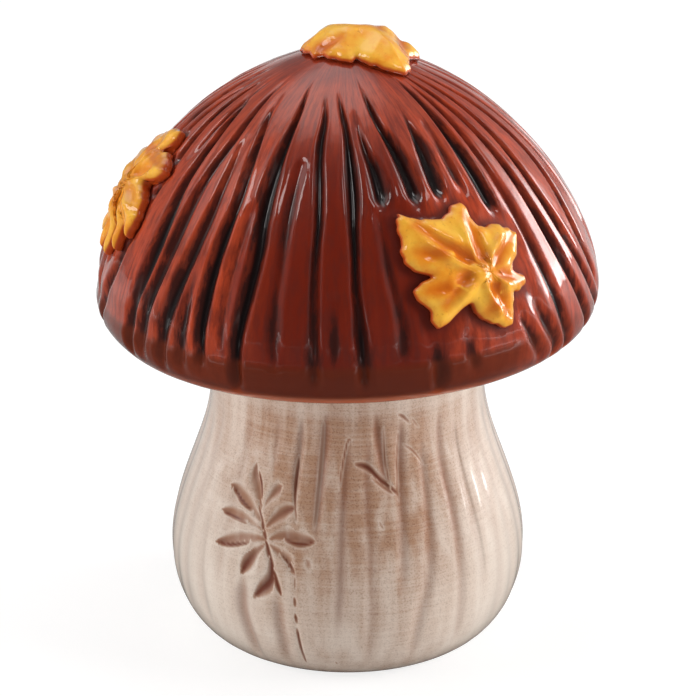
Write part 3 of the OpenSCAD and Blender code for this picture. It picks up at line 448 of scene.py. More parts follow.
def new_piece(name, verts, edges, faces, values):
    """Object from points in mm, with named values for each point; vectors are in mm too."""
    mesh = bpy.data.meshes.new(name)
    mesh.from_pydata(np.asarray(verts, float) * MM, edges, faces)
    for key, value in values.items():
        value = np.asarray(value, float)
        if value.ndim == 2:
            layer = mesh.attributes.new(key, "FLOAT_VECTOR", "POINT")
            layer.data.foreach_set("vector", (value * MM).ravel())
        else:
            layer = mesh.attributes.new(key, "FLOAT", "POINT")
            layer.data.foreach_set("value", value)
    if faces:
        mesh.polygons.foreach_set("use_smooth", [True] * len(mesh.polygons))
    mesh.update()
    piece = bpy.data.objects.new(name, mesh)
    bpy.context.scene.collection.objects.link(piece)
    return piece


def settle(piece, node):
    """The piece stands for its CAD node, which it hides, and rides on the one body."""
    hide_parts(node)
    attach(piece, "root")


# ------------------------------------------------------------- shape of the two castings

def cap_profile(s):
    """Radius and height in mm of the cap's outer skin at place s, 0 crown to 1.2 rim."""
    cfg = bpy.context.scene.ornament.cap
    radius, rise, power, equator = (
        cfg.radius / MM, cfg.dome_height / MM, cfg.fullness, cfg.equator / MM)
    s = np.asarray(s, float)
    a = np.clip(s, 0, 1) * math.pi / 2
    c, d = np.cos(a), np.sin(a)
    k = (np.abs(c) ** power + np.abs(d) ** power) ** (-1 / power)
    b = np.clip((s - 1) / 0.2, 0, 1) * math.pi / 2
    r = np.where(s <= 1, radius * k * d, radius - RIM_IN * (1 - np.cos(b)))
    z = np.where(s <= 1, equator + rise * k * c, equator - RIM_DOWN * np.sin(b))
    return r, z


def cap_outward(s):
    """Outward direction of the cap's skin at place s, as radius and height."""
    (r0, z0), (r1, z1) = (cap_profile(np.maximum(s - 0.004, 0)),
                          cap_profile(np.minimum(s + 0.004, 1.2)))
    dr, dz = r1 - r0, z1 - z0
    size = np.hypot(dr, dz)
    return -dz / size, dr / size


def cap_point(azimuth, s, h):
    """Point in mm on the cap at an azimuth in radians and place s, raised by h."""
    r, z = cap_profile(s)
    nr, nz = cap_outward(s)
    r, z = r + h * nr, z + h * nz
    return np.stack([r * np.sin(azimuth), -r * np.cos(azimuth), z], -1)


def tip(points):
    """The cap and its leaves sit a little out of level on the stem, lower on the left."""
    p = np.array(points, float)
    lean = bpy.context.scene.ornament.cap.lean
    x, z = p[:, 0].copy(), p[:, 2] - CAP_SEAT
    p[:, 0] = x * math.cos(lean) - z * math.sin(lean)
    p[:, 2] = CAP_SEAT + x * math.sin(lean) + z * math.cos(lean)
    return p


def stem_radius(z):
    """Radius in mm of the stem at a height: a quarter ellipse, then a cosine shoulder."""
    z = np.asarray(z, float)
    below = (BELLY_Z - np.minimum(z, BELLY_Z)) / BELLY_Z
    low = FOOT_R + (BELLY_R - FOOT_R) * np.sqrt(np.clip(1 - below ** 2, 0, 1))
    t = np.clip((z - BELLY_Z) / (NECK_Z - BELLY_Z), 0, 1)
    return np.where(z < BELLY_Z, low,
                    NECK_R + (BELLY_R - NECK_R) * (0.5 + 0.5 * np.cos(np.pi * t)))


def revolve(azimuths, loop, flats, swell):
    """Closed surface of revolution. loop holds (radius, height) in mm, flats the unrolled height
    of each row in mm or None on hidden walls, swell the share of the ridges at each point.
    Returns points, faces, unrolled places and swell."""
    n = len(azimuths)
    verts, flat, rows, weight = [], [], [], []
    for i, (r, z) in enumerate(loop):
        first = len(verts)
        down = HIDDEN if flats[i] is None else flats[i]
        if r < 1e-6:
            verts.append((0, 0, z))
            flat.append((0, down, 0))
            weight.append(0)
            rows.append([first])
            continue
        for j, a in enumerate(azimuths):
            verts.append((r * math.sin(a), -r * math.cos(a), z))
            flat.append((a * UNROLLED, down, 0))
            weight.append(0 if flats[i] is None else swell[i][j])
        rows.append(list(range(first, first + n)))
    faces = []
    # a loop that starts on the axis ends there too, and any other is joined up
    for a, b in zip(rows, rows[1:] + (rows[:1] if len(rows[0]) > 1 else [])):
        for j in range(n):
            k = (j + 1) % n
            if len(a) == 1:
                faces.append((a[0], b[j], b[k]))
            elif len(b) == 1:
                faces.append((a[j], b[0], a[k]))
            else:
                faces.append((a[j], b[j], b[k], a[k]))
    return verts, faces, np.array(flat, float), weight


# ----------------------------------------------------------------- carving

CARVING_INPUTS = (
    ("Geometry", "Geometry", None), ("Strokes", "Object", None), ("Depth factor", "Float", 1),
    ("Ridge rise", "Float", 0), ("Ridge half width", "Float", 0.0032), ("Sharpness", "Float", 2),
    ("Lip", "Float", 0), ("Ink spread", "Float", 0.8), ("Softening", "Int", 1),
    ("Ink name", "String", "ink"), ("Finish", "Material", None))


def carve_tree():
    """Geometry Nodes tree that sinks a skin along strokes laid in its unrolled plane."""
    tree = bpy.data.node_groups.get("Carve strokes")
    if tree:
        return tree
    tree = bpy.data.node_groups.new("Carve strokes", "GeometryNodeTree")
    for name, kind, default in CARVING_INPUTS:
        socket = tree.interface.new_socket(name, in_out="INPUT", socket_type="NodeSocket" + kind)
        if default is not None:
            socket.default_value = default
    tree.interface.new_socket("Geometry", in_out="OUTPUT", socket_type="NodeSocketGeometry")
    given = add(tree, "NodeGroupInput", out=None).outputs
    s = {name: given[name] for name, _, _ in CARVING_INPUTS}
    for name, kind in (("flat", "FLOAT_VECTOR"), ("swell", "FLOAT"), ("half_width", "FLOAT"),
                       ("depth", "FLOAT"), ("ink", "FLOAT")):
        s[name] = add(tree, "GeometryNodeInputNamedAttribute", {"Name": name}, "Attribute",
                      data_type=kind)
    lines = add(tree, "GeometryNodeObjectInfo", {"Object": s["Strokes"]}, "Geometry")
    s["near"] = add(tree, "GeometryNodeProximity", {0: lines, "Sample Position": s["flat"]},
                    "Distance", target_element="EDGES")
    index = add(tree, "GeometryNodeSampleNearest",
                {"Geometry": lines, "Sample Position": s["flat"]}, "Index", domain="POINT")
    for name in ("half_width", "depth", "ink"):
        s[name] = add(tree, "GeometryNodeSampleIndex",
                      {"Geometry": lines, "Value": s[name], "Index": index}, "Value",
                      data_type="FLOAT", domain="POINT")
    for name, operation, a, b in (
            # the stroke has the section of a bell
            ("ratio", "DIVIDE", "near", "half_width"),
            ("bell", "POWER", "ratio", "Sharpness"),
            ("bell", "MULTIPLY", "bell", -1.2),
            ("bell", "EXPONENT", "bell", 0),
            # the displaced clay stands up as a low lip on both sides of it
            ("beside", "SUBTRACT", "ratio", 1.75),
            ("beside", "MULTIPLY", "beside", "beside"),
            ("beside", "MULTIPLY", "beside", -4),
            ("beside", "EXPONENT", "beside", 0),
            ("beside", "MULTIPLY", "beside", "Lip"),
            ("bell", "SUBTRACT", "bell", "beside"),
            ("sunk", "MULTIPLY", "bell", "depth"),
            # dark glaze gathers in it, wider or narrower than the cut
            ("dark", "MULTIPLY", "ratio", "Ink spread"),
            ("dark", "MULTIPLY", "dark", "dark"),
            ("dark", "MULTIPLY", "dark", -1.2),
            ("dark", "EXPONENT", "dark", 0),
            ("dark", "MULTIPLY", "dark", "ink"),
            ("far", "DIVIDE", "near", "Ridge half width")):
        s[name] = add(tree, "ShaderNodeMath", {0: s[a], 1: s.get(b, b)}, operation=operation)
    s["soft"] = add(tree, "GeometryNodeBlurAttribute",
                    {"Value": s["sunk"], "Iterations": s["Softening"]}, "Value", data_type="FLOAT")
    s["crest"] = add(tree, "ShaderNodeMapRange", {0: s["far"]}, interpolation_type="SMOOTHERSTEP")
    for name, operation, a, b in (
            ("down", "MULTIPLY", "soft", "Depth factor"),
            ("rise", "MULTIPLY", "crest", "Ridge rise"),
            ("rise", "MULTIPLY", "rise", "swell"),
            ("move", "SUBTRACT", "rise", "down")):
        s[name] = add(tree, "ShaderNodeMath", {0: s[a], 1: s[b]}, operation=operation)
    kept = s["Geometry"]
    for name, value in ((s["Ink name"], s["dark"]), ("crest", s["crest"])):
        kept = add(tree, "GeometryNodeStoreNamedAttribute",
                   {"Geometry": kept, "Name": name, "Value": value}, "Geometry",
                   data_type="FLOAT", domain="POINT")
    normal = add(tree, "GeometryNodeInputNormal", out="Normal")
    offset = add(tree, "ShaderNodeVectorMath", {0: normal, "Scale": s["move"]}, "Vector",
                 operation="SCALE")
    moved = add(tree, "GeometryNodeSetPosition", {"Geometry": kept, "Offset": offset}, "Geometry")
    real = add(tree, "GeometryNodeRealizeInstances", {"Geometry": moved}, "Geometry")
    done = add(tree, "GeometryNodeSetMaterial", {"Geometry": real, "Material": s["Finish"]},
               "Geometry")
    add(tree, "NodeGroupOutput", {"Geometry": done}, None)
    return tree


def stroke_object(name, lines):
    """Helper object: polylines in the unrolled plane, each rows of (x, y, half width, depth, ink)
    in mm but for the ink, the darkness of the glaze that gathers in the stroke."""
    rows, edges = [], []
    for line in lines:
        run = run_length(line)
        count = max(2, int(run[-1] / 0.5))
        at = np.linspace(0, run[-1], count)
        edges += [(len(rows) + i, len(rows) + i + 1) for i in range(count - 1)]
        rows += list(np.stack([np.interp(at, run, line[:, c]) for c in range(5)], -1))
    x, y, half, depth, ink = np.array(rows).T
    return new_piece(name, np.stack([x, y, 0 * x], -1), edges, [], {
        "half_width": np.maximum(half, 0.15) * MM, "depth": depth * MM, "ink": ink})


def carve(piece, lines, finish, inputs):
    """Runs the carving tree on the piece and keeps the result as its plain mesh."""
    strokes = stroke_object(piece.name + "_strokes", lines)
    tree = carve_tree()
    modifier = piece.modifiers.new("Carve", "NODES")
    modifier.node_group = tree
    wanted = {"Strokes": strokes, "Finish": finish, **inputs}
    for item in tree.interface.items_tree:
        if item.item_type == "SOCKET" and item.in_out == "INPUT" and item.name in wanted:
            modifier[item.identifier] = wanted[item.name]
    graph = bpy.context.evaluated_depsgraph_get()
    result = bpy.data.meshes.new_from_object(
        piece.evaluated_get(graph), preserve_all_data_layers=True, depsgraph=graph)
    piece.modifiers.remove(modifier)
    old, piece.data = piece.data, result
    result.name = piece.name
    line_mesh = strokes.data
    bpy.data.objects.remove(strokes)
    for mesh in (old, line_mesh):
        bpy.data.meshes.remove(mesh)


def groove(depth, points, tapers, scale=1.0, spill=0.0):
    """One stroke as rows of x, y, half width, depth and dark share in the unrolled plane."""
    p = spline([(a, along * scale, width, dark) for a, along, width, dark in points], 0.7)
    run = run_length(p)
    fade = smooth(-0.4, tapers[0], run) * smooth(-0.4, tapers[1], run[-1] - run)
    half = p[:, 2] / 2 * (0.6 + 0.4 * fade) * (1 + spill * smooth(0.8, 1, p[:, 3]))
    return np.stack([np.radians(p[:, 0]) * UNROLLED, p[:, 1], half,
                     depth * fade * (p[:, 2] / p[:, 2].max()) ** 0.5, p[:, 3] * fade ** 0.5], -1)


def grooves(strokes, turns, *section):
    """The strokes at each turn: (1 as drawn or -1 mirrored, degrees to shift them by)."""
    lines = []
    for side, shift in turns:
        for depth, points in strokes:
            line = groove(depth, [(side * a + shift, *rest) for a, *rest in points], *section)
            if np.abs(line[:, 0]).max() < math.radians(PAST_SEAM) * UNROLLED:
                lines.append(line)
    return lines


def pad_mask(azimuth_deg, s, near=1.2, far=4.6):
    """0 on the smooth pads round the side leaves, 1 away from them."""
    azimuth_deg, s = np.broadcast_arrays(np.asarray(azimuth_deg, float), np.asarray(s, float))
    mask = np.ones(azimuth_deg.shape)
    for leaf in LEAVES.values():
        if leaf["place"] is None:
            continue
        azimuth, along, turned, scale = leaf["place"]
        u = np.radians((azimuth_deg - azimuth + 180) % 360 - 180) * cap_profile(s)[0]
        v = (along - s) * MERIDIAN
        close = (np.abs(u) < 26) & (np.abs(v) < 26)
        c, d = math.cos(math.radians(turned)), math.sin(math.radians(turned))
        gap = outline_gap(leaf["outline"], ((u * c + v * d) / scale)[close],
                          ((v * c - u * d) / scale)[close])
        mask[close] = np.minimum(
            mask[close], smooth(near * leaf["clear"], far * leaf["clear"], gap))
    return mask


# ---------------------------------------------------------------- materials

EVEN, EASED = "LINEAR", "SMOOTHSTEP"


def glaze_base(name, base, roughness, coat_roughness, reads):
    """Glazed ceramic: an opaque coloured coat under a clear, very smooth layer of glass. Returns
    the material and the patterns that its coats follow, to begin with the piece's own values."""
    material = bpy.data.materials.new(name)
    material.use_nodes = True
    material.diffuse_color = linear(base)
    tree = material.node_tree
    for key, value in {"Base Color": linear(base), "Roughness": roughness, "IOR": 1.5,
                       "Specular IOR Level": 0.2, "Coat Weight": 1.0,
                       "Coat Roughness": coat_roughness, "Coat IOR": 1.5}.items():
        tree.nodes["Principled BSDF"].inputs[key].default_value = value
    patterns = {"place": add(tree, "ShaderNodeTexCoord", out="Object")}
    for key in reads:
        patterns[key] = add(tree, "ShaderNodeAttribute",
                            out="Vector" if key == "flat" else "Fac", attribute_name=key)
    return material, patterns


def lay_coats(material, patterns, noises, sums, ground, coats, bump=None):
    """Lays coats of colour over the ground, the lowest first.
    noises: name, coordinates, scale along each axis in periods per metre, detail, roughness.
    sums: name, operation, pattern, value.
    coats: name, pattern, where in it the coat starts and ends, its share at both ends, how it
    goes from one to the other, what else thins it, and its colour, or None for a share alone.
    bump: pattern, strength, depth in m, and the normals that it turns."""
    tree = material.node_tree
    shader = tree.nodes["Principled BSDF"]
    for key, where, scale, detail, roughness in noises:
        at = add(tree, "ShaderNodeMapping", {0: patterns[where], "Scale": scale})
        patterns[key] = add(tree, "ShaderNodeTexNoise", {
            "Vector": at, "Scale": 1, "Detail": detail, "Roughness": roughness}, "Fac")
    for key, operation, source, value in sums:
        patterns[key] = add(tree, "ShaderNodeMath", {0: patterns[source], 1: value},
                            operation=operation)
    colour = linear(ground)
    for key, source, start, end, least, most, ease, thinned, tint in coats:
        share = add(tree, "ShaderNodeMapRange", {
            0: patterns[source], 1: start, 2: end, 3: least, 4: most}, interpolation_type=ease)
        factors = [patterns[name] for name in thinned] + [share]
        share = factors[0]
        for factor in factors[1:]:
            share = add(tree, "ShaderNodeMath", {0: share, 1: factor}, operation="MULTIPLY",
                        use_clamp=True)
        patterns[key] = share
        if tint:
            colour = add(tree, "ShaderNodeMix", {0: share, 6: colour, 7: linear(tint)}, 2,
                         data_type="RGBA")
    tree.links.new(colour, shader.inputs["Base Color"])
    if bump:
        source, strength, depth, normals = bump
        turned = add(tree, "ShaderNodeBump", {
            "Height": patterns[source], "Strength": strength, "Distance": depth})
        for normal in normals:
            tree.links.new(turned, shader.inputs[normal])
    return material


def cap_glaze():
    """Red-brown reactive glaze: warm on the ridges, near black where it pools in the flutes."""
    cfg = bpy.context.scene.ornament.cap
    material, patterns = glaze_base(
        "red_brown_pooled_glaze", cfg.glaze, 0.45, 0.08, ("flat", "ink", "pad", "crest"))
    for key, axis in (("across", "X"), ("up", "Y")):
        patterns[key] = add(
            material.node_tree, "ShaderNodeSeparateXYZ", {0: patterns["flat"]}, axis)
    return lay_coats(material, patterns, (
        # brush streaks 3 mm apart and 40 mm long, clouds of thick and thin glaze 15 mm across,
        # a mottle 2 by 7 mm and the glass's orange peel of 4 mm
        ("streak", "flat", (330, 25, 1), 5, 0.65), ("cloud", "place", (65, 65, 65), 5, 0.65),
        ("fleck", "flat", (620, 150, 1), 4, 0.65), ("peel", "place", (260, 260, 260), 2, 0.5),
    ), (
        # 1 at the front and the back, 0 at the sides
        ("facing", "DIVIDE", "across", UNROLLED * MM), ("facing", "COSINE", "facing", 0),
        ("facing", "ABSOLUTE", "facing", 0),
        # how far from the middle of the right flank
        ("off_right", "SUBTRACT", "across", 0.093), ("off_right", "ABSOLUTE", "off_right", 0),
    ), "#832c1b", (
        ("tone", "streak", 0.42, 0.58, 0, 1, EVEN, (), cfg.glaze),
        ("shade", "cloud", 0.45, 0.62, 0, 0.6, EVEN, (), "#74301f"),
        # the glaze breaks to orange where it thins on the ridges
        ("thin", "cloud", 0.35, 0.6, 0, 0.5, EVEN, ("crest",), "#bc4a2a"),
        # painted shade: low down, the front and the back are painted darker and deeper red for the
        # side that faces the camera, which the side lamps leave darker
        ("lower", "up", 0.020, 0.042, 0, 1, EASED, (), None),
        ("run", "facing", 0.85, 0.97, 0, 0.88, EASED, ("lower",), "#661707"),
        ("dusk", "fleck", 0.46, 0.6, 0, 0.5, EVEN, (), "#5a2018"),
        # the dark glaze smears out of the flutes, further in some places than in others
        ("smear", "fleck", 0.4, 0.6, 0.7, 1.75, EVEN, ("ink",), None),
        ("soft", "smear", 0.03, 0.6, 0, 0.95, EVEN, (), "#3c1712"),
        ("deep", "ink", 0.55, 0.88, 0, 1, EASED, (), cfg.pooled),
        # it gathers dark at the foot of the side leaves and in patches round the crown leaf
        ("foot", "pad", 0, 1, 0.85, 0, EVEN, (), "#561a12"),
        ("patchy", "cloud", 0.4, 0.56, 0.3, 1, EVEN, (), None),
        ("halo", "up", 0.0125, 0.0185, 0.7, 0, EASED, ("patchy",), "#641a10"),
        # a plain brown band above the rim, faint on the right flank where the flutes run on over
        # it, and a pale edge where the glaze drains off
        ("banded", "off_right", 0.042, 0.054, 0.3, 0.85, EVEN, (), None),
        ("band", "up", 0.0856, 0.0876, 0, 1, EASED, ("banded",), "#62240f"),
        ("edge", "up", 0.095, 0.0995, 0, 1, EASED, (), "#b04a1c"),
    ), ("peel", 0.12, 0.0006, ("Normal", "Coat Normal")))


def leaf_glaze():
    """Amber glaze that breaks to orange in the veins and along the pressed edge."""
    cfg = bpy.context.scene.ornament.leaf
    return lay_coats(*glaze_base("amber_leaf_glaze", cfg.amber, 0.35, 0.06, ("ink", "side")), (
        # patches 6 mm across, specks of 1 mm and an orange peel of 2 mm
        ("cloud", "place", (165, 165, 165), 5, 0.62), ("speck", "place", (900, 900, 900), 3, 0.6),
        ("peel", "place", (420, 420, 420), 3, 0.5),
    ), (), cfg.amber, (
        # the yellow and the orange glaze run into each other, brown where they are thin
        ("tone", "cloud", 0.44, 0.66, 0, 1, EVEN, (), "#f0992a"),
        ("broken", "speck", 0.6, 0.78, 0, 0.45, EVEN, (), "#b8641c"),
        ("glow", "ink", 0.05, 0.75, 0, 0.85, EVEN, (), cfg.vein),
        ("deep", "ink", 0.7, 1, 0, 0.6, EVEN, (), "#b0440e"),
        ("pressed", "side", 0, 1, 0, 1, EVEN, (), "#bb4a1c"),
    ), ("peel", 0.15, 0.0006, ("Normal", "Coat Normal")))


def stem_glaze():
    """Pale clay with a brown wash wiped back by brush, darker in the marks, under clear glaze."""
    cfg = bpy.context.scene.ornament.stem
    material, patterns = glaze_base(
        "wiped_wash_stem_glaze", cfg.clay, 0.4, 0.06, ("ink", "stamp"))
    for key, axis in (("across", "X"), ("up", "Z")):
        patterns[key] = add(
            material.node_tree, "ShaderNodeSeparateXYZ", {0: patterns["place"]}, axis)
    return lay_coats(material, patterns, (
        # wiped streaks 3 mm apart and 40 mm long, level lines of brush hairs 0.6 mm apart, and
        # the dry clay's grain, drawn 0.5 mm across
        ("streak", "place", (300, 300, 22), 3, 0.5), ("hair", "place", (60, 60, 1700), 2, 0.5),
        ("grain", "place", (2600, 2600, 2600), 1, 0.5),
    ), (("aside", "ABSOLUTE", "across", 0),), cfg.clay, (
        # the wash is heavier high up and on the front and the back, thin on the flanks: partly the
        # wash itself, partly painted shade under the cap and on the front that the side lamps leave
        # darker
        ("low", "up", 0.006, 0.046, 0.52, 0.95, EASED, (), None),
        ("top", "up", 0.065, 0.0685, 1, 0.72, EASED, (), None),
        ("flank", "aside", 0.012, 0.038, 0.95, 0.38, EASED, (), None),
        ("veil", "streak", 0.32, 0.68, 0.7, 1.25, EVEN, (), None),
        ("much", "hair", 0.35, 0.65, 0.9, 1.08, EVEN, ("low", "top", "flank", "veil"), cfg.wash),
        ("specks", "grain", 0.5, 0.74, 0, 0.6, EVEN, ("much",), "#7c5642"),
        ("caught", "ink", 0, 1, 0, 0.8, EVEN, (), "#8a5740"),
        # it is rubbed off the raised lips of the marks and stays dark inside them
        ("lip", "stamp", 0, 0.14, 0, 0.2, EVEN, (), cfg.clay),
        ("light_ink", "stamp", 0.14, 0.55, 0, 0.95, EASED, ("veil",), "#a57b63"),
        ("dark_ink", "stamp", 0.45, 0.95, 0, 0.95, EVEN, (), cfg.mark),
    ), ("hair", 0.15, 0.0004, ("Normal",)))


def slip_glaze():
    """Fired slip: pale clay squeezed out at the joint, under the stem's clear glaze."""
    return lay_coats(*glaze_base("fired_slip_clear_glaze", "#d9cfc4", 0.4, 0.1, ()), (
        # clouds in the clay 3 mm across
        ("cloud", "place", (300, 300, 300), 3, 0.5),
    ), (), "#e4ddd2", (("clay", "cloud", 0, 1, 0, 1, EVEN, (), "#c9b9a8"),))


# ------------------------------------------------------------------- pieces

class ORNAMENT_OT_cap(bpy.types.Operator):
    """Throw the fluted cap as a closed hollow casting and carve its flutes"""

    bl_idname = "ornament.cap"
    bl_label = "Fluted cap"

    def execute(self, context):
        cfg = context.scene.ornament.cap
        azimuths = np.radians(np.concatenate([
            np.arange(-180, -88, 0.75), np.arange(-88, 88, 0.4), np.arange(88, 179.6, 0.75)]))
        outer = np.concatenate([[0], np.linspace(0.012, 0.2, 13), np.linspace(0.21, 1.03, 88),
                                np.linspace(1.042, 1.2, 12)])
        r, z = cap_profile(outer)
        # the underside curls in to the seat, and the neck hole opens into the hollow
        base = z[-1]
        under = [(51.2, base), (50.0, base + 0.4), (48, base + 1.8), (44, base + 3.7),
                 (39, CAP_SEAT), (32, CAP_SEAT), (29, CAP_SEAT), (29, 88.5), (45, 88.5),
                 (51, 88.5)]
        inner = np.arange(0.92, 0.05, -0.115)
        ri, zi = cap_profile(inner)
        nr, nz = cap_outward(inner)
        loop = list(zip(r, z)) + under + list(zip(ri - WALL * nr, zi - WALL * nz)) + [(0, 141)]
        hidden = [None] * (len(loop) - len(outer))
        deg = np.degrees(azimuths)
        # the ridges die out just above the plain band, which stands proud again, and run on over
        # the rim on the right flank
        on = smooth(38, 50, deg) * (1 - smooth(135, 147, deg))
        swell = []
        for s in outer:
            banded = (1 - smooth(0.925, 0.98, s)
                      + 0.9 * smooth(0.97, 1.01, s) * (1 - smooth(1.04, 1.12, s)))
            plain = 1 - smooth(1.05, 1.15, s)
            swell.append(smooth(0.15, 0.42, s) * (banded * (1 - on) + plain * on)
                         * pad_mask(deg, s))
        verts, faces, flat, weight = revolve(
            azimuths, loop, list(outer * MERIDIAN) + hidden, swell + hidden)
        pad = pad_mask(np.degrees(flat[:, 0] / UNROLLED), flat[:, 1] / MERIDIAN, 0.2, 2.6)
        piece = new_piece("fluted_cap", tip(verts), [], faces,
                          {"flat": flat, "swell": weight, "pad": pad})
        # the flutes of the front, and their mirror round the unseen back
        lines = grooves(FLUTES, ((-1, -175.3), (1, 0), (-1, 184.7)), (9.0, 2.6), MERIDIAN, 0.3)
        for line in lines:
            open_to = pad_mask(np.degrees(line[:, 0] / UNROLLED), line[:, 1] / MERIDIAN)
            line[:, 3] *= open_to
            line[:, 4] *= open_to ** 0.7
        carve(piece, lines, cap_glaze(), {
            "Depth factor": cfg.flute_depth, "Ridge rise": cfg.ridge, "Sharpness": 1.9,
            "Lip": 0.12, "Ink spread": 0.85})
        settle(piece, "cap")
        return {"FINISHED"}


class ORNAMENT_OT_stem(bpy.types.Operator):
    """Throw the gourd-shaped stem, gouge it and press the leaf into it"""

    bl_idname = "ornament.stem"
    bl_label = "Gouged stem"

    def execute(self, context):
        cfg = context.scene.ornament.stem
        azimuths = np.radians(np.concatenate([
            np.arange(-180, -56, 1.1), np.arange(-56, -4, 0.5), np.arange(-4, 50, 0.7),
            np.arange(50, 179.5, 1.1)]))
        up = np.concatenate([[0, 0.25, 0.7, 1.3, 2.0, 3.0, 4.2], np.arange(5.5, 23, 1.1),
                             np.arange(23, 70, 0.5), np.arange(70, 83.2, 1.6), [83.2]])[::-1]
        # the spigot, the outer skin, the foot ring and drain hole, and the hollow
        spigot = [(28.7, 87.2), (28.7, 83.2)]
        under = [(27.6, 0), (21.9, 0), (21.5, 0.1), (20, 1.5), (8, 1.5), (8, 5), (27, 5), (32, 7)]
        inner = [(float(stem_radius(h)) - WALL, h) for h in range(12, 67, 6)]
        loop = (spigot + [(float(stem_radius(h)), float(h)) for h in up] + under + inner
                + [(28.1, 72), (24, 77), (24, 87.2)])
        flats = [None, None] + list(up)
        flats += [None] * (len(loop) - len(flats))
        verts, faces, flat, weight = revolve(
            azimuths, loop, flats, np.zeros((len(loop), len(azimuths))))
        piece = new_piece("gouged_stem", verts, [], faces, {"flat": flat, "swell": weight})
        finish = stem_glaze()
        carve(piece, grooves(GOUGES, ((-1, -178), (1, 0), (-1, 182)), (9.0, 5.0)), finish,
              {"Depth factor": cfg.gouge_depth, "Softening": 3})
        carve(piece, grooves(PRESSES, ((1, 0),), (1.4, 1.4)), finish, {
            "Depth factor": cfg.press_depth / MM, "Sharpness": 1.6, "Softening": 2, "Lip": 0.12,
            "Ink name": "stamp"})
        settle(piece, "stem")
        return {"FINISHED"}


def fold_rise(points, vein, side):
    """Height of the raised fold that runs along one side of a vein, 0 to 1."""
    line = spline(vein, 1.2)
    rise = np.zeros(len(points))
    near = np.full(len(points), 1e9)
    for i, (a, b) in enumerate(zip(line[:-1], line[1:])):
        gap = segment_gap(points, a, b)
        d = (b - a) / np.linalg.norm(b - a)
        across = (points - a) @ np.array([-d[1], d[0]]) * side
        along = (i + 0.5) / (len(line) - 1)
        taper = smooth(0.0, 0.22, along) * (1 - smooth(0.6, 1.0, along))
        fold = np.exp(-((gap - 2.2) / 1.1) ** 2) * np.where(across > 0, 1, 0.25) * taper
        rise = np.where(gap < near, fold, rise)
        near = np.minimum(near, gap)
    return rise


def leaf_on_cap(flat, h, place):
    """Lays a leaf's flat points, raised by h, on the crown or at its place down the cap."""
    x, y = flat.T
    if place is None:
        return tip(cap_point(np.arctan2(x, -y), np.hypot(x, y) / MERIDIAN, h))
    azimuth, along, turned, scale = place
    c, d = math.cos(math.radians(turned)), math.sin(math.radians(turned))
    s = along - (x * d + y * c) * scale / MERIDIAN
    return tip(cap_point(math.radians(azimuth) + (x * c - y * d) * scale / cap_profile(s)[0], s, h))


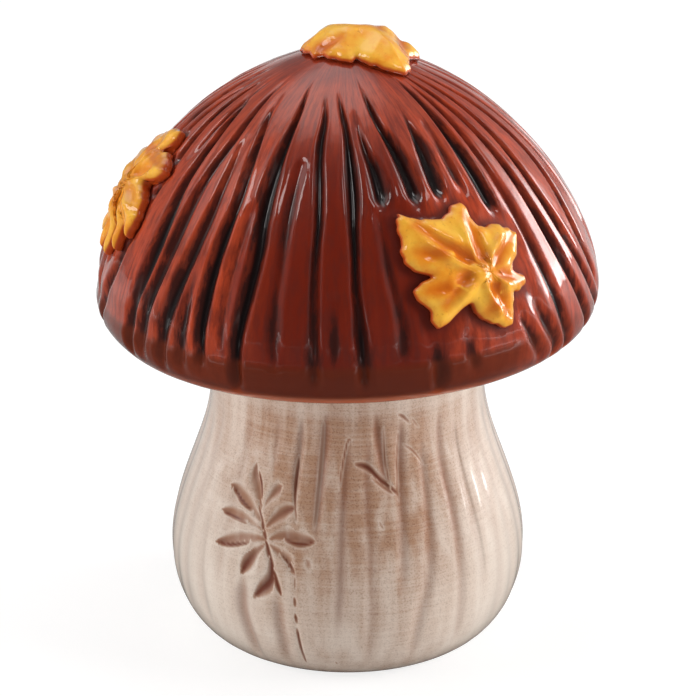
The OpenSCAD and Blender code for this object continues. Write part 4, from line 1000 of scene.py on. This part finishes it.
def build_leaf(name, leaf, finish, cfg):
    """One applied leaf: a nibbled, folded and pinched slab of clay laid on the cap, veined."""
    hub = np.array(leaf["hub"], float)
    thick, drape = leaf["thick"], leaf["drape"]
    ring = spline(leaf["outline"] + leaf["outline"][:1], 0.45)[:-1]
    n = len(ring)
    # the pressed edge is nibbled all round
    out = ring - hub
    out /= np.linalg.norm(out, axis=1)[:, None]
    k = np.arange(n)
    nibble = (0.13 * np.sin(k * 1.15) + 0.14 * np.sin(k * 0.53 + 1)
              + 0.13 * np.sin(k * 0.84 + 2) - 0.1)
    ring = ring + out * nibble[:, None]
    # rings from the hub to the edge on top, and back to the hub underneath
    shares = np.concatenate([np.linspace(0.04, 0.88, 27),
                             [0.91, 0.935, 0.955, 0.972, 0.986, 0.996, 1.0]])
    low_shares = [1.0, 0.985, 0.66, 0.33]
    top, low = (np.concatenate([hub + share * (ring - hub) for share in part])
                for part in (shares, low_shares))
    gap = np.full(len(top), 1e9)
    for i in range(n):
        gap = np.minimum(gap, segment_gap(top, ring[i], ring[(i + 1) % n]))
    gap[-n:] = 0
    t = cfg.thickness / MM * thick
    edge = np.sqrt(np.clip(1 - (1 - np.minimum(gap / 2.2, 1)) ** 2, 0, 1))
    # a draped leaf is thin at the edge and full in the middle
    puff = smooth(0, 5.5 + 3 * drape, gap)
    height = t * (0.34 - 0.22 * drape + (0.42 - 0.06 * drape) * edge
                  + (0.22 + 0.5 * drape) * puff)
    folds = sum(fold_rise(top, vein, side) * depth for vein, depth, side in leaf["veins"])
    height = height + (0.7 - 0.45 * drape) * np.minimum(folds, 1.4) * edge
    # pinched by hand: the surface swells and dips a little from lobe to lobe
    height = height + (0.25 * edge * np.sin(top[:, 0] * 0.55 + 1)
                       * np.sin(top[:, 1] * 0.62 + 2 * thick))
    flat = np.concatenate([top, low, [hub, hub]])
    h = np.concatenate([height, np.repeat([0.2 * t, 0.1, 0.1, 0.1], n), [t * 0.98, 0.1]])
    rows = [list(range(i * n, (i + 1) * n)) for i in range(len(shares) + len(low_shares))]
    faces = []
    for a, b in zip(rows[:-1], rows[1:]):
        faces += [(a[j], a[(j + 1) % n], b[(j + 1) % n], b[j]) for j in range(n)]
    hub_top, hub_low = len(flat) - 2, len(flat) - 1
    faces += [(hub_top, rows[0][(j + 1) % n], rows[0][j]) for j in range(n)]
    faces += [(hub_low, rows[-1][j], rows[-1][(j + 1) % n]) for j in range(n)]
    # the edge shows orange, and so do the tips of some lobes
    tint = np.clip(1 - gap / 0.45, 0, 1) + 0.4 * np.clip(1 - gap / 1.3, 0, 1)
    tint = tint + (leaf["tipped"] * smooth(9.4, 10.8, top[:, 1])
                   * (1 - smooth(12.6, 14, top[:, 1])))
    # the carving works on the top alone: the underside is set out of its reach
    depth = np.concatenate([np.zeros(len(top)), np.full(len(low), HIDDEN), [0, HIDDEN]])
    piece = new_piece(name, leaf_on_cap(flat, h, leaf["place"]), [], faces, {
        "flat": np.column_stack([flat, depth]),
        "swell": np.concatenate([smooth(0.4, 2.0, gap), np.zeros(len(low)), [1, 0]]),
        "side": np.concatenate([np.clip(tint, 0, 1), np.ones(len(low)), [0, 1]])})
    lines = []
    for vein, depth, _ in leaf["veins"]:
        p = spline(vein, 0.4)
        f = np.linspace(0, 1, len(p))
        start = leaf["cut"] * ((0.2 + 0.8 * smooth(0, 0.35, f)) * (1 - drape) + drape)
        lines.append(np.stack([p[:, 0], p[:, 1], 1.7 - 0.6 * f - 0.2 * drape,
                               depth * (0.95 - 0.6 * f) * start, (1 - 0.35 * f) * start], -1))
    carve(piece, lines, finish, {
        "Depth factor": cfg.vein_depth / MM, "Sharpness": 1.7, "Softening": 3,
        "Ink spread": 0.62})
    settle(piece, leaf["node"])


class ORNAMENT_OT_leaves(bpy.types.Operator):
    """Model the four applied maple leaves on the cap"""

    bl_idname = "ornament.leaves"
    bl_label = "Maple leaves"

    def execute(self, context):
        finish = leaf_glaze()
        for name, leaf in LEAVES.items():
            build_leaf(name, leaf, finish, context.scene.ornament.leaf)
        return {"FINISHED"}


class ORNAMENT_OT_slip_joint(bpy.types.Operator):
    """Finish the ring of fired slip between the stem and the cap"""

    bl_idname = "ornament.slip_joint"
    bl_label = "Slip joint"

    def execute(self, context):
        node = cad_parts["slip_joint"]
        node.data.materials.clear()
        node.data.materials.append(slip_glaze())
        return {"FINISHED"}


# -------------------------------------------------------------------- stage

TABLE_HALF = 6.0
AIM = (0, 0, 0.08)
# Wide diffusers light the piece: place in m, size, watts.
LAMPS = {
    "top_diffuser": ((0, 0.15, 1.2), (0.9, 0.7), 5.5),
    "left_diffuser": ((-2.5, -0.30, 0.68), (1.8, 1.6), 56),
    "right_diffuser": ((2.5, -0.20, 0.76), (1.8, 1.6), 68),
    "front_diffuser": ((0.2, -2.8, 0.62), (2.0, 1.2), 17),
}
# What the glaze mirrors is drawn into the surroundings. Soft windows: direction, outer and inner
# angle in degrees, strength.
WINDOWS = (
    # behind overhead, left, and two on the right
    ((-0.14, 0.42, 0.90), 26, 8, 1.4), ((-0.76, 0.15, 0.63), 22, 6, 0.9),
    ((0.87, 0.45, 0.12), 24, 8, 9.0), ((0.80, 0.36, 0.48), 16, 6, 2.0),
    # a small one high on either side in front, and a small lamp low at the front left
    ((-0.52, -0.22, 0.83), 8.5, 5, 6.0), ((0.50, -0.25, 0.83), 7.5, 4.5, 4.5),
    ((-0.55, -0.82, 0.12), 4.5, 3, 5.0),
    # a narrow window far right, and the white wall behind
    ((0.95, 0.31, 0.03), 7, 3.5, 7.0), ((0, 0.927, -0.375), 40, 16, 0.8))


def table_paper():
    """Matt white paper. The camera sees it white, and the glaze mirrors it darker in front."""
    paper = bpy.data.materials.new("white_table_paper")
    paper.use_nodes = True
    tree = paper.node_tree
    shader = tree.nodes["Principled BSDF"]
    for key, value in {"Base Color": linear("#a4a4a4"), "Roughness": 0.9,
                       "Specular IOR Level": 0.0}.items():
        shader.inputs[key].default_value = value
    path = add(tree, "ShaderNodeLightPath", out=None).outputs
    glow = add(tree, "ShaderNodeEmission", {"Color": (1, 1, 1, 1), "Strength": 0.76})
    seen = add(tree, "ShaderNodeAddShader", {0: shader.outputs[0], 1: glow})
    at = add(tree, "ShaderNodeTexCoord", out="Object")
    beyond = add(tree, "ShaderNodeSeparateXYZ", {0: at}, "Y")
    beyond = add(tree, "ShaderNodeMapRange", {0: beyond, 1: -0.05, 2: 0.35})
    aside = add(tree, "ShaderNodeSeparateXYZ", {0: at}, "X")
    aside = add(tree, "ShaderNodeMath", {0: aside}, operation="ABSOLUTE")
    aside = add(tree, "ShaderNodeMapRange", {0: aside, 1: 0.5, 2: 1.3, 3: 0, 4: 0.8})
    light = add(tree, "ShaderNodeMath", {0: beyond, 1: aside}, operation="MAXIMUM")
    light = add(tree, "ShaderNodeMix", {0: light, 6: linear("#404040"), 7: linear("#f4f4f4")}, 2,
                data_type="RGBA")
    mirrored = add(tree, "ShaderNodeBsdfDiffuse", {"Color": light})
    bounce = add(tree, "ShaderNodeBsdfDiffuse", {"Color": linear("#f0f0f0")})
    pick = add(tree, "ShaderNodeMixShader", {0: path["Is Glossy Ray"], 1: bounce, 2: mirrored})
    pick = add(tree, "ShaderNodeMixShader", {0: path["Is Camera Ray"], 1: pick, 2: seen})
    tree.links.new(pick, tree.nodes["Material Output"].inputs["Surface"])
    return paper


def white_studio():
    """White for the camera, a dim even fill on the piece, and the windows in its glaze."""
    world = bpy.data.worlds.new("white_studio")
    world.use_nodes = True
    tree = world.node_tree
    back = tree.nodes["Background"]
    back.inputs["Color"].default_value = (1, 1, 1, 1)
    path = add(tree, "ShaderNodeLightPath", out=None).outputs
    toward = add(tree, "ShaderNodeTexCoord", out="Generated")
    # dark on the camera's side, and a little brighter to the right
    front = add(tree, "ShaderNodeVectorMath", {0: toward, 1: (0, -0.927, 0.375)}, "Value",
                operation="DOT_PRODUCT")
    right = add(tree, "ShaderNodeSeparateXYZ", {0: toward}, "X")
    light = {}
    for name, start, end, behind, before, on_left, on_right in (
            ("mirror", 0.1, 0.8, 0.22, 0.03, 0.9, 1.3),
            ("fill", -0.2, 0.9, 0.10, 0.07, 0.85, 1.15)):
        level = add(tree, "ShaderNodeMapRange", {0: front, 1: start, 2: end, 3: behind, 4: before},
                    interpolation_type=EASED)
        lean = add(tree, "ShaderNodeMapRange", {0: right, 1: -1, 2: 1, 3: on_left, 4: on_right})
        light[name] = add(tree, "ShaderNodeMath", {0: level, 1: lean}, operation="MULTIPLY")
    for centre, outer, inner, strength in WINDOWS:
        near = add(tree, "ShaderNodeVectorMath", {0: toward, 1: centre}, "Value",
                   operation="DOT_PRODUCT")
        patch = add(tree, "ShaderNodeMapRange", {
            0: near, 1: math.cos(math.radians(outer)), 2: math.cos(math.radians(inner)),
            3: 0, 4: strength}, interpolation_type=EASED)
        light["mirror"] = add(tree, "ShaderNodeMath", {0: light["mirror"], 1: patch},
                              operation="ADD")
    lit = add(tree, "ShaderNodeMix", {0: path["Is Glossy Ray"], 2: light["fill"],
                                      3: light["mirror"]}, data_type="FLOAT")
    lit = add(tree, "ShaderNodeMix", {0: path["Is Camera Ray"], 2: lit, 3: 1.0},
              data_type="FLOAT")
    tree.links.new(lit, back.inputs["Strength"])
    return world


class ORNAMENT_OT_stage(bpy.types.Operator):
    """Set the pale table, soft lamps, surroundings and camera"""

    bl_idname = "ornament.stage"
    bl_label = "Stage and camera"

    def execute(self, context):
        cfg = context.scene.ornament.stage
        scene = context.scene
        mesh = bpy.data.meshes.new("table_top")
        corners = [(TABLE_HALF * x, TABLE_HALF * y, 0) for x, y in
                   ((-1, -1), (1, -1), (1, 1), (-1, 1))]
        mesh.from_pydata(corners, [], [(0, 1, 2, 3)])
        mesh.materials.append(table_paper())
        table = bpy.data.objects.new("table_top", mesh)
        scene.collection.objects.link(table)
        for name, (place, size, power) in LAMPS.items():
            data = bpy.data.lights.new(name, "AREA")
            data.shape = "RECTANGLE"
            data.size, data.size_y = size
            data.energy = power
            lamp = bpy.data.objects.new(name, data)
            lamp.location = place
            direction = mathutils.Vector(AIM) - mathutils.Vector(place)
            lamp.rotation_euler = direction.to_track_quat("-Z", "Y").to_euler()
            lamp.visible_glossy = False
            scene.collection.objects.link(lamp)
        scene.world = white_studio()
        camera = bpy.data.cameras.new("photo_camera")
        camera.lens = cfg.lens
        camera.sensor_width = 36
        # the ornament stands 0.4 pixel left of the middle of a picture 696 wide
        camera.shift_x = 0.4 / 696
        holder = bpy.data.objects.new("photo_camera", camera)
        holder.location = (0, -cfg.distance * math.cos(cfg.elevation),
                           cfg.aim + cfg.distance * math.sin(cfg.elevation))
        holder.rotation_euler = (math.pi / 2 - cfg.elevation, 0, 0)
        scene.collection.objects.link(holder)
        scene.camera = holder
        scene.view_settings.view_transform = "Standard"
        return {"FINISHED"}


class ORNAMENT_PT_panel(bpy.types.Panel):
    """Sidebar panel with one button for each operator"""

    bl_label = "Mushroom Ornament"
    bl_idname = "ORNAMENT_PT_panel"
    bl_space_type = "VIEW_3D"
    bl_region_type = "UI"
    bl_category = "Ornament"

    def draw(self, context):
        for operator in OPERATORS:
            self.layout.operator(operator.bl_idname)


OPERATORS = (ORNAMENT_OT_cap, ORNAMENT_OT_stem, ORNAMENT_OT_leaves, ORNAMENT_OT_slip_joint,
             ORNAMENT_OT_stage)
CLASSES = (CapSettings, StemSettings, LeafSettings, StageSettings, OrnamentSettings,
           *OPERATORS, ORNAMENT_PT_panel)


def register():
    for cls in CLASSES:
        bpy.utils.register_class(cls)
    bpy.types.Scene.ornament = bpy.props.PointerProperty(type=OrnamentSettings)


def unregister():
    del bpy.types.Scene.ornament
    for cls in reversed(CLASSES):
        bpy.utils.unregister_class(cls)


def main():
    register()
    bpy.ops.ornament.cap()
    bpy.ops.ornament.stem()
    bpy.ops.ornament.leaves()
    bpy.ops.ornament.slip_joint()
    bpy.ops.ornament.stage()


if __name__ == "__main__":
    main()
